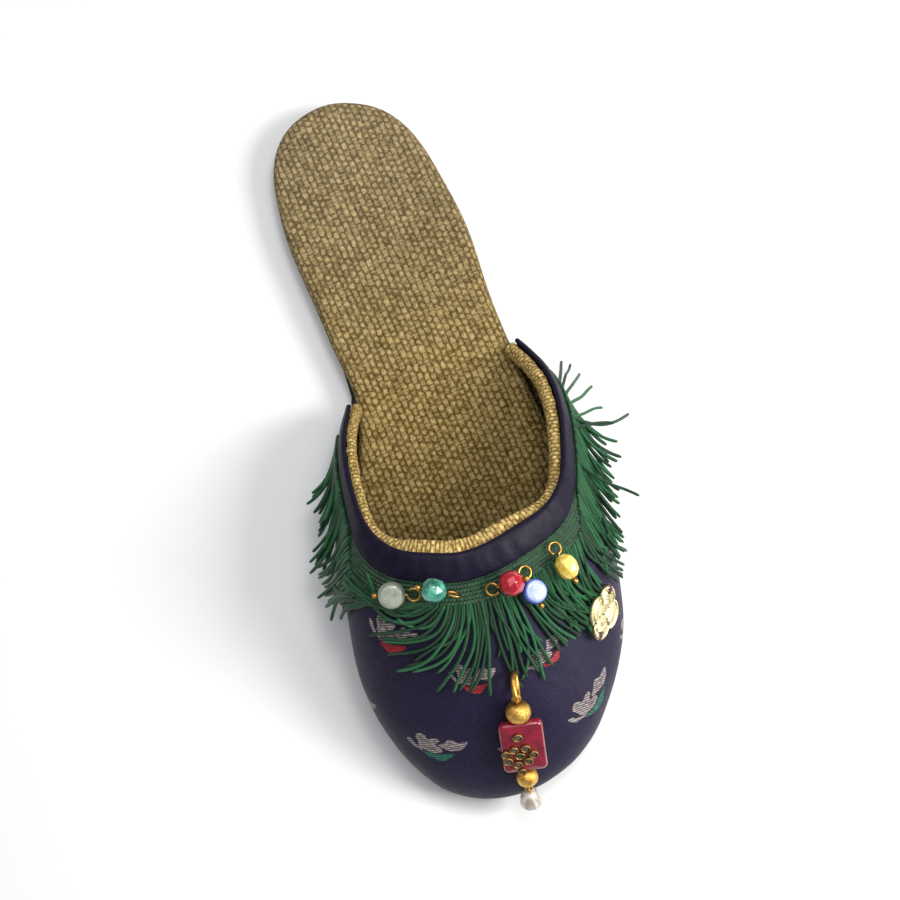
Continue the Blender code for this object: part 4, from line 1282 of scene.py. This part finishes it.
def make_cords(surface):
    """Twisted cords, bunched as combed rayon fringe bunches, their ends cut."""
    strays = np.vstack([np.array(STRAYS).T, np.full(len(STRAYS), STRAY_LAYER)])
    cords = np.hstack([top_cords(), under_cords(), strays])
    count = cords.shape[1]
    curl = 9.0 * RNG.normal(size=count), RNG.uniform(0.0, 6.28, count), 18.0 * RNG.normal(size=count)
    soon = np.where(np.arange(count) < count - len(STRAYS), 1.4, 0.3)
    paths = lay_cords(cords, curl, soon)
    paths[:, :, 2] = np.maximum(paths[:, :, 2], CORD_FOOT)
    sides = 8
    turns = even_turns(sides)
    rim = np.column_stack([np.cos(turns), np.sin(turns)])
    solids = []
    fields = {"run": [], "rim": [], "shade": []}
    for path, length in zip(paths, cords[4]):
        fine = evenly(spline(path, False, 1.0), 24)
        side = np.cross(unit(fine[1] - fine[0]), UP)
        radii = np.full(len(fine), CORD_RADIUS * RNG.uniform(0.88, 1.06))
        radii[-1] *= 0.72
        solids.append(tube(fine, radii, side, sides))
        fields["run"].append(np.repeat(np.linspace(0.0, length, len(fine)), sides))
        fields["rim"].append(np.tile(rim, (len(fine), 1)))
        fields["shade"].append(np.full(len(fine) * sides, RNG.uniform()))
    add_piece("fringe_cords", *joined(solids), surface, stands_for=("fringe",), slot="cord", fields=fields)


STITCH_ROWS = 6.0
STITCH_POINTS = 6.0
HEADER_MIDDLE = 12.5


def make_header(surface):
    """Knitted head of the fringe: rows of small staggered stitches, with a scalloped upper edge."""
    places = even_places(HEADER_MIDDLE, CORD_PITCH / STITCH_POINTS)
    column = (np.arange(len(places)) + 0.5) / STITCH_POINTS
    aside = np.abs(places)
    loop = 0.55 * np.abs(np.cos(math.pi * column))
    narrow = 1.0 - 0.8 * ease((aside - 0.74) / 0.12)
    flatter = 1.0 - 0.4 * at_side(places)
    rows = []
    fields = {"column": [], "row": [], "relief": []}
    shares = [0.0, *np.linspace(0.0, 1.0, 37), 1.0]
    for number, share in enumerate(shares):
        row = share * STITCH_ROWS
        shift = 0.5 * (round(row) % 2)
        over_column = np.abs(np.cos(math.pi * (column + shift))) ** 0.6
        over_row = 0.25 + 0.75 * np.abs(math.cos(math.pi * row)) ** 0.7
        stitch = (0.45 + 0.55 * over_column) * over_row
        scallop = loop * (1.0 - ease(share / 0.12))
        top = HEADER_TOP - 1.6 * ease((aside - 0.2) / 0.25) - scallop
        distance = top + share * (HEADER_BOTTOM - top) * narrow
        edge = number in (0, len(shares) - 1)
        rows.append(on_wall(places, distance, 0.12 if edge else (0.55 + 0.85 * stitch) * flatter))
        fields["column"].append(column)
        fields["row"].append(np.full(len(places), row))
        # The relief darkens the tape's colour between the stitches and at its edges: painted shade.
        fields["relief"].append(stitch * (0.4 if edge else 1.0))
    add_sheet("fringe_header", rows, surface, ("fringe",), "cord", fields)


# --- Beads on their headpins ----------------------------------------------------------------

BEADS = (
    # name, shape, loop, place, distance, pin angle, tilt, radius, half
    ("grey", "coin", "flat", 0.1397, 11.7, 2.7, 11.0, 4.6, 2.4),
    ("teal", "round", "upright", 0.0257, 10.6, -20.4, 13.0, 4.2, 4.0),
    ("red", "round", "flat", -0.0543, 12.4, 183.5, 24.0, 4.4, 3.9),
    ("blue", "coin", "flat", -0.1398, 12.6, 86.2, 13.0, 4.2, 2.3),
    ("yellow", "round", "flat", -0.2461, 11.2, 84.1, 23.0, 3.9, 4.2),
)
CUTS = {
    # facets round the bead, turn of each ring of corners against the next
    "teal": (9, 0.5),
    "red": (10, 0.5),
    "yellow": (8, 0.85),
}
CUT_ROWS = ((-1.0, 0.42), (-0.62, 0.86), (0.0, 1.0), (0.62, 0.86), (1.0, 0.42))
COIN_RIM = ((1.0, 0.02), (1.0, 0.35), (0.97, 0.62), (0.86, 0.8), (0.6, 0.93), (0.28, 0.99))
COIN_END = 0.94
WIRE_RADIUS = 0.36
CAD_WIRE = 0.45
EYE_RADIUS = 2.1
BALL_RADIUS = 0.95
CLOTH_UNDER_PIN = 2.05
BEAD_GAP = 0.4
BALL_GAP = 0.3


def headpin(eye, direction, side, ball_at, eye_radius):
    """Wire with a ball at its far end, straight to the eye, and bent round it in a loop."""
    direction = unit(direction)
    loop_side, _ = frame_along(direction, side)
    path = []
    radii = []
    for turn in np.radians(np.linspace(8.0, 158.0, 11)):
        path.append(eye + direction * (ball_at + BALL_RADIUS * math.cos(turn)))
        radii.append(max(BALL_RADIUS * math.sin(turn), WIRE_RADIUS * 0.4))
    for place in np.linspace(ball_at - 1.2 * BALL_RADIUS, eye_radius + 0.5, 5):
        path.append(eye + direction * place)
        radii.append(WIRE_RADIUS)
    for turn in np.radians(np.linspace(4.0, 318.0, 30)):
        path.append(eye + eye_radius * (math.cos(turn) * direction + math.sin(turn) * loop_side))
        radii.append(WIRE_RADIUS)
    return tube(np.array(path), radii, np.cross(direction, loop_side), 12)


def lathe(centre, axis, side, profile, count, squeeze=None):
    """Solid of rings. The profile gives the place along the axis and the radius of each ring."""
    first, second = frame_along(axis, side)
    axis = unit(axis)
    turns = even_turns(count)
    rings = []
    for number, (along, radius) in enumerate(profile):
        size = radius * (squeeze(turns, number) if squeeze else np.ones(count))
        rings.append(centre + along * axis + size[:, None] * circle(turns, first, second))
    return ring_solid(rings)


def coin(centre, face_way, side, radius, half):
    """Flat round bead with a softly rounded edge."""
    rows = [(-height, share) for height, share in COIN_RIM] + [(0.0, 1.0), *COIN_RIM[::-1]]
    curve = spline([(height * half, share * radius) for height, share in rows], False, 1.0)
    return lathe(centre, face_way, side, evenly(curve, 34), 64)


def cut_bead(centre, direction, side, half, radius, count, twist):
    """Round bead cut in flat facets, each ring of corners turned against the next."""
    first, second = frame_along(direction, side)
    direction = unit(direction)
    rings = []
    for number, (along, share) in enumerate(CUT_ROWS):
        turns = even_turns(count) + number * twist * 2.0 * math.pi / count
        rim = circle(turns, first, second)
        rings.append(centre + along * half * direction + share * radius * rim)
    points, faces = ring_solid(rings)
    facets = [half for a, b, c, d in faces[:-2] for half in ([a, b, d], [b, c, d])]
    return points, facets + faces[-2:]


def soften(piece):
    """Rounds off the facets' edges a little."""
    bevel = piece.modifiers.new("soft edges", "BEVEL")
    bevel.width = 0.22 * MM
    bevel.segments = 2
    bevel.limit_method = "ANGLE"
    bevel.angle_limit = math.radians(8.0)
    bevel.harden_normals = False


def make_beads(gold, glass):
    for name, shape, loop, place, distance, angle, tilt, radius, half in BEADS:
        point, across, down, out = one_spot(place, distance)
        turn = math.radians(angle)
        tilt = math.radians(tilt)
        flat = math.cos(turn) * across + math.sin(turn) * down
        direction = math.cos(tilt) * flat + math.sin(tilt) * out
        half_length = COIN_END * radius if shape == "coin" else half
        reach = 1.0 if loop == "upright" else math.sin(tilt)
        eye = point + (CLOTH_UNDER_PIN + CAD_WIRE + (EYE_RADIUS + CAD_WIRE) * reach) * out
        along = EYE_RADIUS + CAD_WIRE + BEAD_GAP + half_length
        centre = eye + along * direction
        across_pin = np.cross(out, direction)
        loop_way = out if loop == "upright" else across_pin
        body = f"{name}_charm"
        pin = headpin(eye, direction, loop_way, along + half_length + BALL_GAP + BALL_RADIUS, EYE_RADIUS)
        add_piece(f"{name}_gold_pin", *pin, gold, body, (f"headpin_{name}",), "gold_wire")
        place_in_part = glass[name], body, (f"bead_{name}",), f"bead_{name}_glass"
        if shape == "coin":
            face_way = unit(np.cross(direction, across_pin))
            face_way = face_way if np.dot(face_way, out) > 0.0 else -face_way
            points, faces = coin(centre, face_way, direction, radius, half)
            rim = np.linalg.norm(np.cross(points - centre, face_way), axis=1) / radius
            add_piece(f"{name}_glass_bead", points, faces, *place_in_part, {"rim": rim})
        else:
            bead = cut_bead(centre, direction, out, half, radius, *CUTS[name])
            soften(add_piece(f"{name}_glass_bead", *bead, *place_in_part, smooth=False))


# --- Pendant --------------------------------------------------------------------------------

BAIL_TOP = np.array((15.0, -90.9, 42.65))
BAIL_WAY = np.array((-0.12, -0.96, 0.26))
BAIL_OUT = np.array((0.1, 0.26, 0.96))
BAIL_LONG = 4.6
BAIL_WIDE = 2.4
BAIL_WIRE = 0.9
BAIL_TURN = math.radians(18.0)
CORE_WIRE = 0.36
CORE_TOP_EYE = 1.28
CORE_FOOT_EYE = 1.05
PENDANT_WAY = np.array((-0.07, -0.8, -0.58))
PENDANT_FACE = np.array((-0.04, -0.35, 0.93))
PENDANT_LONG = 36.7
PEARL_WAY = np.array((0.0, -0.56, -0.83))
PENDANT_BEADS = {
    # half length, radius
    "upper": (3.5, 4.3),
    "lower": (3.1, 3.75),
}
PENDANT_HOLE = 1.3
EYE_GAP = 0.15
TILE_GAP = 0.2
TILE_HALF_THICK = 2.0
TILE_HALF_WIDE = 7.6
TILE_CORNER = 2.0
TILE_EDGE = 0.9
PEARL_HALF = 4.3

CUPS = (
    # name, medial of the tile's middle, down the tile, half width, half height, stone
    ("upper", 1.4, -5.0, 1.75, 1.5, "olive"),
    ("middle", 1.4, 2.4, 1.85, 1.35, "green"),
    ("petal_1", 6.0, 1.3, 1.65, 1.5, "olive"),
    ("petal_2", 3.2, -0.2, 1.6, 1.35, "olive"),
    ("petal_3", -0.8, -0.3, 1.75, 1.45, "olive"),
    ("petal_4", -3.2, 2.4, 1.65, 1.5, "olive"),
    ("petal_5", -1.2, 4.9, 1.65, 1.45, "olive"),
    ("petal_6", 2.5, 5.8, 1.65, 1.45, "olive"),
    ("petal_7", 5.5, 4.1, 1.7, 1.5, "olive"),
    ("lower", 1.4, 8.9, 1.35, 1.3, "olive"),
)

PEARL_SHAPE = (
    (-1.0, 1.1),
    (-0.92, 1.9),
    (-0.7, 2.75),
    (-0.45, 3.25),
    (-0.2, 3.55),
    (0.05, 3.72),
    (0.3, 3.8),
    (0.55, 3.5),
    (0.75, 2.95),
    (0.9, 2.15),
    (1.0, 1.1),
)


def ring_link(centre, long_way, wide_way, half_long, half_wide, wire):
    turns = even_turns(64)
    angles = even_turns(14)
    flat = unit(np.cross(long_way, wide_way))
    loops = []
    for turn in turns:
        spoke = math.cos(turn) * half_long * long_way + math.sin(turn) * half_wide * wide_way
        outward = unit(math.cos(turn) * half_wide * long_way + math.sin(turn) * half_long * wide_way)
        loops.append(centre + spoke + wire * circle(angles, outward, flat))
    return np.vstack(loops), grid_faces(64, 14, round_rows=True, round_columns=True).tolist()


def core_pin(top, foot, side):
    direction = unit(foot - top)
    first, second = frame_along(direction, side)
    path = []
    for turn in np.radians(np.linspace(-312.0, 0.0, 26)):
        path.append(top + CORE_TOP_EYE * (math.cos(turn) * direction + math.sin(turn) * second))
    path.append(top + (CORE_TOP_EYE + 0.8) * direction)
    path.append(foot - (CORE_FOOT_EYE + 0.8) * direction)
    for turn in np.radians(np.linspace(0.0, 312.0, 26)):
        path.append(foot + CORE_FOOT_EYE * (-math.cos(turn) * direction + math.sin(turn) * second))
    return tube(np.array(path), CORE_WIRE, first, 12)


def round_tile(centre, along, side, out, half_long):
    """Cast glass tile: round corners, soft edges and a slightly swollen face."""
    rim = []
    for corner_x, corner_y, start in ((1, 1, 0), (-1, 1, 90), (-1, -1, 180), (1, -1, 270)):
        for turn in np.radians(start + np.linspace(0.0, 90.0, 9)):
            x = corner_x * (TILE_HALF_WIDE - TILE_CORNER) + TILE_CORNER * math.cos(turn)
            y = corner_y * (half_long - TILE_CORNER) + TILE_CORNER * math.sin(turn)
            rim.append((x, y))
    rim = np.array(rim)
    # Each level is a share of the tile's breadth, a height, and how far the soft edge draws in.
    levels = [(0.0, -1.0, 0.0), (0.3, -1.0, 0.0), (0.7, -0.98, 0.0), (1.0, -0.92, 1.0)]
    for turn in np.radians(np.linspace(-72.0, 72.0, 9)):
        levels.append((1.0, math.sin(turn) * 0.9, 1.0 - math.cos(turn)))
    levels += [(1.0, 0.92, 1.0), (0.7, 0.99, 0.0), (0.3, 1.03, 0.0), (0.0, 1.04, 0.0)]
    loops = []
    for share, height, inset in levels:
        edge = TILE_EDGE / np.array([TILE_HALF_WIDE, half_long])
        size = 1.0 - inset * edge if share == 1.0 else share * (1.0 - edge)
        flat = rim * np.maximum(size, 0.004)
        flat = flat * (1.0 + 0.012 * waves(flat, 9.0, 41)[:, None])
        loops.append(centre - flat[:, :1] * side + flat[:, 1:] * along + height * TILE_HALF_THICK * out)
    return ring_solid(loops)


# Height off the tile and share of the cup's radius.
CUP_RIM = ((0.0, 1.02), (0.55, 1.02), (0.95, 0.96), (1.12, 0.84), (1.05, 0.72), (0.8, 0.66), (0.45, 0.64))
STONE_DOME = ((0.42, 0.66), (0.68, 0.6), (0.82, 0.45), (0.9, 0.24), (0.92, 0.03))


def make_cups(face, along, side, out, brass, stones):
    """Brass cups with their stones, a flower of them between two single ones."""
    cups = {"upper": [], "flower": [], "lower": []}
    for name, medial, down, half_wide, half_high, stone in CUPS:
        middle = face + medial * side + down * along
        wide = half_wide / half_high

        def oval(turns, _ring):
            return half_high / np.sqrt((np.cos(turns) / wide) ** 2 + np.sin(turns) ** 2)

        cups[name if name in cups else "flower"].append(lathe(middle, out, side, CUP_RIM, 32, oval))
        dome = lathe(middle, out, side, STONE_DOME, 28, oval)
        add_piece(f"tile_stone_{name}", *dome, stones[stone], "pendant", slot="setting_brass")
    for group, solids in cups.items():
        add_piece(f"tile_cups_{group}", *joined(solids), brass, "pendant", (f"tile_setting_{group}",),
                  "setting_brass")


def make_bail(gold, along):
    """The link on the vamp. Gives the point in it where the pendant's eye hangs."""
    bail_along = unit(BAIL_WAY)
    bail_out, _ = frame_along(bail_along, BAIL_OUT)
    middle = BAIL_TOP + BAIL_LONG * bail_along
    wide_way = math.cos(BAIL_TURN) * bail_out + math.sin(BAIL_TURN) * np.cross(bail_along, bail_out)
    bail = ring_link(middle, bail_along, wide_way, BAIL_LONG, BAIL_WIDE, BAIL_WIRE)
    add_piece("pendant_bail_wire", *bail, gold, "shoe", ("pendant_bail",), "gold_wire")
    turn = math.atan2(np.dot(along, bail_out) * BAIL_WIDE, np.dot(along, bail_along) * BAIL_LONG)
    return middle + BAIL_LONG * math.cos(turn) * bail_along + BAIL_WIDE * math.sin(turn) * bail_out


def make_pearl(foot, along, side, gold, pearl):
    """The pearl on its own pin, in the pendant's lower eye."""
    drop = unit(PEARL_WAY)
    eye = foot + CORE_FOOT_EYE * unit(along + drop)
    middle = CORE_FOOT_EYE + CORE_WIRE + EYE_GAP + PEARL_HALF
    _, crosswise = frame_along(drop, side)
    pin = headpin(eye, drop, crosswise, middle + PEARL_HALF + BALL_GAP + BALL_RADIUS, CORE_FOOT_EYE)
    add_piece("pearl_gold_pin", *pin, gold, "pearl", ("pearl_pin",), "gold_wire")

    def baroque(turns, ring):
        return 1.0 + 0.05 * np.cos(turns - 0.6) + 0.035 * np.cos(3.0 * turns + 0.25 * ring)

    shape = [(t * PEARL_HALF, size) for t, size in PEARL_SHAPE]
    shell = lathe(eye + middle * drop, drop, side, shape, 48, baroque)
    add_piece("pearl_drop_shell", *shell, pearl, "pearl", ("pearl_drop",), "pearl")


def make_pendant(gold, bead_gold, brass, tile_glass, stones, pearl):
    along = unit(PENDANT_WAY)
    off_vamp, side = frame_along(along, PENDANT_FACE)
    top = make_bail(gold, along)
    foot = top + PENDANT_LONG * along
    pin = core_pin(top, foot, off_vamp)
    add_piece("pendant_core_wire", *pin, gold, "pendant", ("pendant_pin",), "gold_wire")
    upper_half, lower_half = [half for half, _ in PENDANT_BEADS.values()]
    upper_at = CORE_TOP_EYE + CORE_WIRE + EYE_GAP + upper_half
    lower_at = PENDANT_LONG - (CORE_FOOT_EYE + CORE_WIRE + EYE_GAP) - lower_half
    for (name, (half, radius)), place in zip(PENDANT_BEADS.items(), (upper_at, lower_at)):
        profile = [(t * half, PENDANT_HOLE + (radius - PENDANT_HOLE) * (1.0 - abs(t) ** 2.0) ** 0.5)
                   for t in np.sin(np.linspace(-0.5 * math.pi, 0.5 * math.pi, 21))]
        bead = lathe(top + place * along, along, side, profile, 48)
        stands_for = (f"pendant_bead_{name}",)
        add_piece(f"pendant_gold_{name}", *bead, bead_gold, "pendant", stands_for, "gold_bead")
    tile_top = upper_at + upper_half + TILE_GAP
    tile_half = (lower_at - lower_half - TILE_GAP - tile_top) / 2.0
    tile_centre = top + (tile_top + tile_half) * along
    tile = round_tile(tile_centre, along, side, off_vamp, tile_half)
    add_piece("pendant_red_tile", *tile, tile_glass, "pendant", ("pendant_tile",), "tile_glass")
    face = tile_centre + (TILE_HALF_THICK + 0.02) * off_vamp
    make_cups(face, along, side, off_vamp, brass, stones)
    make_pearl(foot, along, side, gold, pearl)


# --- Charm ----------------------------------------------------------------------------------

# Place round the wall and distance from the collar, of the middle and of the two ends.
CHARM_PLACE = (-0.281, 41.4)
CHARM_ENDS = ((-0.246, 47.7), (-0.316, 35.7))
CHARM_LIFT = 3.5
CHARM_LONG = 9.2
CHARM_WIDE = 6.0
CHARM_HOLE_AT = 7.4
CHARM_HOLE = 0.85
THREAD_RADIUS = 0.2
CHARM_SIDE = (
    # share of the outline, height
    (0.9, -0.7),
    (0.96, -0.62),
    (0.995, -0.35),
    (1.0, 0.0),
    (0.995, 0.3),
    (0.975, 0.55),
)
# Height over the charm's middle and way out past its hole, along each stitch.
CHARM_STITCH = ((-3.3, 1.4), (-0.6, 2.3), (0.85, 1.6), (0.85, 0.0), (-1.2, 0.0))


def bump(value, middle, width):
    return np.exp(-(((value - middle) / width) ** 2))


def charm_face(size, flat, lobe):
    """Height of one ring of the charm's face: a border, lobes between grooves, and two holes."""
    border = bump(size, 0.93, 0.05)
    groove = bump(size, 0.8, 0.045) + 0.8 * bump(size, 0.45, 0.04)
    pinch = bump(lobe, 0.0, 0.22) * ease((size - 0.25) / 0.3)
    swell = 0.34 * math.sin(math.pi * min(max(size - 0.1, 0.0) / 0.9, 1.0)) * lobe**0.5
    height = 0.5 + 0.22 * border + swell - 0.26 * groove - 0.42 * pinch
    for end in (-1.0, 1.0):
        hole = np.hypot(flat[:, 0] - end * CHARM_HOLE_AT, flat[:, 1]) / CHARM_HOLE
        height = height - 1.0 * np.exp(-(hole**4)) + 0.25 * bump(hole, 1.5, 0.35)
    return height


def make_charm(surface, thread):
    """Pale gold cloud, its lobes swollen between engraved lines, held by a stitch at each end."""
    point, _, _, out = one_spot(*CHARM_PLACE)
    ends = on_wall(*np.array(CHARM_ENDS).T)
    long_way = unit(ends[0] - ends[1])
    long_way = unit(long_way - np.dot(long_way, out) * out)
    wide_way = np.cross(out, long_way)
    centre = point + CHARM_LIFT * out
    turns = np.linspace(0.0, 2.0 * math.pi, 160, endpoint=False)
    lobe = np.abs(np.cos(2.0 * turns))
    radius = 0.74 + 0.3 * lobe**0.55
    rim = radius[:, None] * np.stack([CHARM_LONG * np.cos(turns), CHARM_WIDE * np.sin(turns)], axis=1)
    rings = [(size * rim, np.full(len(turns), height)) for size, height in CHARM_SIDE]
    rings += [(size * rim, charm_face(size, size * rim, lobe)) for size in np.linspace(0.95, 0.02, 40)]
    loops = [centre + flat[:, :1] * long_way + flat[:, 1:] * wide_way + height[:, None] * out
             for flat, height in rings]
    add_piece("gold_cloud_charm", *ring_solid(loops), surface, stands_for=("gold_flower_charm",),
              slot="pale_gold")
    stitches = []
    for end in (-1.0, 1.0):
        for shift in (-0.25, 0.3):
            start = centre + end * CHARM_HOLE_AT * long_way + shift * wide_way
            path = [start + up * out + end * outward * long_way for up, outward in CHARM_STITCH]
            stitches.append(tube(evenly(spline(path, False, 1.0), 18), THREAD_RADIUS, wide_way, 8))
    add_piece("charm_stitches", *joined(stitches), thread, slot="satin")


# --- Camera, light and floor ----------------------------------------------------------------

CAMERA_HEIGHT = math.radians(80.0)
CAMERA_ROLL = math.radians(13.0)
CAMERA_AWAY = 550.0
CAMERA_TARGET = np.array((11.0, -10.0, 25.0))
CAMERA_LENS = 62.7


def aim(thing, place, right=None):
    """Points a light or camera at the shoe."""
    back = unit(place - CAMERA_TARGET)
    if right is None:
        right = unit(np.cross(UP, back))
    up = np.cross(back, right)
    matrix = Matrix([[*row] for row in np.column_stack([right, up, back])]).to_4x4()
    matrix.translation = (place * MM).tolist()
    thing.matrix_world = matrix


def make_camera():
    towards = np.array([0.0, -math.cos(CAMERA_HEIGHT), math.sin(CAMERA_HEIGHT)])
    ahead = -towards
    toe_way = np.array([0.0, -1.0, 0.0])
    toe_way = unit(toe_way - np.dot(toe_way, ahead) * ahead)
    lateral = np.cross(toe_way, ahead)
    right = math.cos(CAMERA_ROLL) * lateral + math.sin(CAMERA_ROLL) * toe_way
    data = bpy.data.cameras.new("photo_view")
    data.lens = CAMERA_LENS
    data.sensor_width = 36.0
    data.clip_start = 0.01
    data.clip_end = 20.0
    camera = add_object("photo_view", data)
    bpy.context.scene.camera = camera
    aim(camera, CAMERA_TARGET + CAMERA_AWAY * towards, right)


LIGHTS = (
    # name, place, size across and along, power in watts, colour
    ("window", (640.0, -200.0, 520.0), 380.0, 380.0, 7.6, (1.0, 0.985, 0.96)),
    ("ceiling", (60.0, 160.0, 950.0), 900.0, 900.0, 4.4, (0.97, 0.98, 1.0)),
    ("skylight", (150.0, 130.0, 640.0), 110.0, 150.0, 0.9, (1.0, 1.0, 1.0)),
)


def make_lights():
    for name, place, wide, high, power, colour in LIGHTS:
        data = bpy.data.lights.new(name, "AREA")
        data.shape = "RECTANGLE"
        data.size = wide * MM
        data.size_y = high * MM
        data.energy = power
        data.color = colour
        aim(add_object(name, data), np.array(place))
    world = bpy.data.worlds.new("pale_room")
    world.use_nodes = True
    background = world.node_tree.nodes["Background"]
    background.inputs["Color"].default_value = (0.93, 0.95, 1.0, 1.0)
    background.inputs["Strength"].default_value = 0.3
    bpy.context.scene.world = world
    bpy.context.scene.view_settings.view_transform = "Standard"


def make_floor(surface):
    count = 13
    steps = np.linspace(-1500.0, 1500.0, count)
    grid = np.array([(x, y, 0.0) for x in steps for y in steps])
    add_mesh("floor", grid, grid_faces(count, count)[:, ::-1], surface)


# --- The shoe -------------------------------------------------------------------------------


METALS = (
    # name, dark, light, roughness, pits
    ("polished_gold_wire", (168, 118, 46), (224, 176, 92), 0.24, 0.0),
    ("frosted_gold_bead", (180, 124, 42), (250, 208, 112), 0.22, 0.12),
    ("pale_cloud_gold", (190, 174, 124), (226, 214, 172), 0.3, 0.0),
    ("aged_brass_cups", (108, 80, 46), (188, 150, 94), 0.26, 0.0),
)
GLASS = {
    # name, dark, light, roughness, fineness of its clouds, deeper colour at a coin's rim
    "grey": ("milky_grey_glass", (138, 144, 128), (172, 176, 160), 0.1, 0.25, (112, 120, 104)),
    "teal": ("teal_cut_glass", (10, 84, 66), (84, 176, 150), 0.05, 0.3),
    "red": ("red_cut_glass", (150, 4, 26), (184, 12, 38), 0.14, 0.3),
    "blue": ("blue_milk_glass", (150, 168, 214), (186, 198, 230), 0.1, 0.2, (62, 90, 190)),
    "yellow": ("yellow_pearl_glass", (196, 150, 10), (236, 214, 104), 0.1, 0.35),
    "tile": ("red_tile_glass", (104, 12, 34), (142, 20, 46), 0.1, 0.18),
    "olive": ("olive_stone", (46, 42, 30), (88, 80, 62), 0.16, 0.8),
    "green": ("dark_green_stone", (8, 30, 26), (26, 62, 50), 0.16, 0.8),
}


def dress():
    make_camera()
    make_lights()
    make_floor(floor_paper())

    jute = burlap_cloth()
    make_insole(jute)
    make_lining(jute)
    make_binding(satin_cloth())
    make_vamp(brocade_cloth())
    make_header(tape_cloth())
    make_cords(cord_rayon())

    rubber = sole_rubber()
    for slot in bpy.data.objects["outsole"].material_slots:
        slot.material = rubber

    gold, bead_gold, pale_gold, brass = [gold_metal(*metal) for metal in METALS]
    glass = {name: bead_glass(*looks) for name, looks in GLASS.items()}
    make_beads(gold, glass)
    make_pendant(gold, bead_gold, brass, glass["tile"], glass, nacre())
    make_charm(pale_gold, thread_cotton("plum_thread", (50, 22, 58), (104, 60, 112)))


dress()
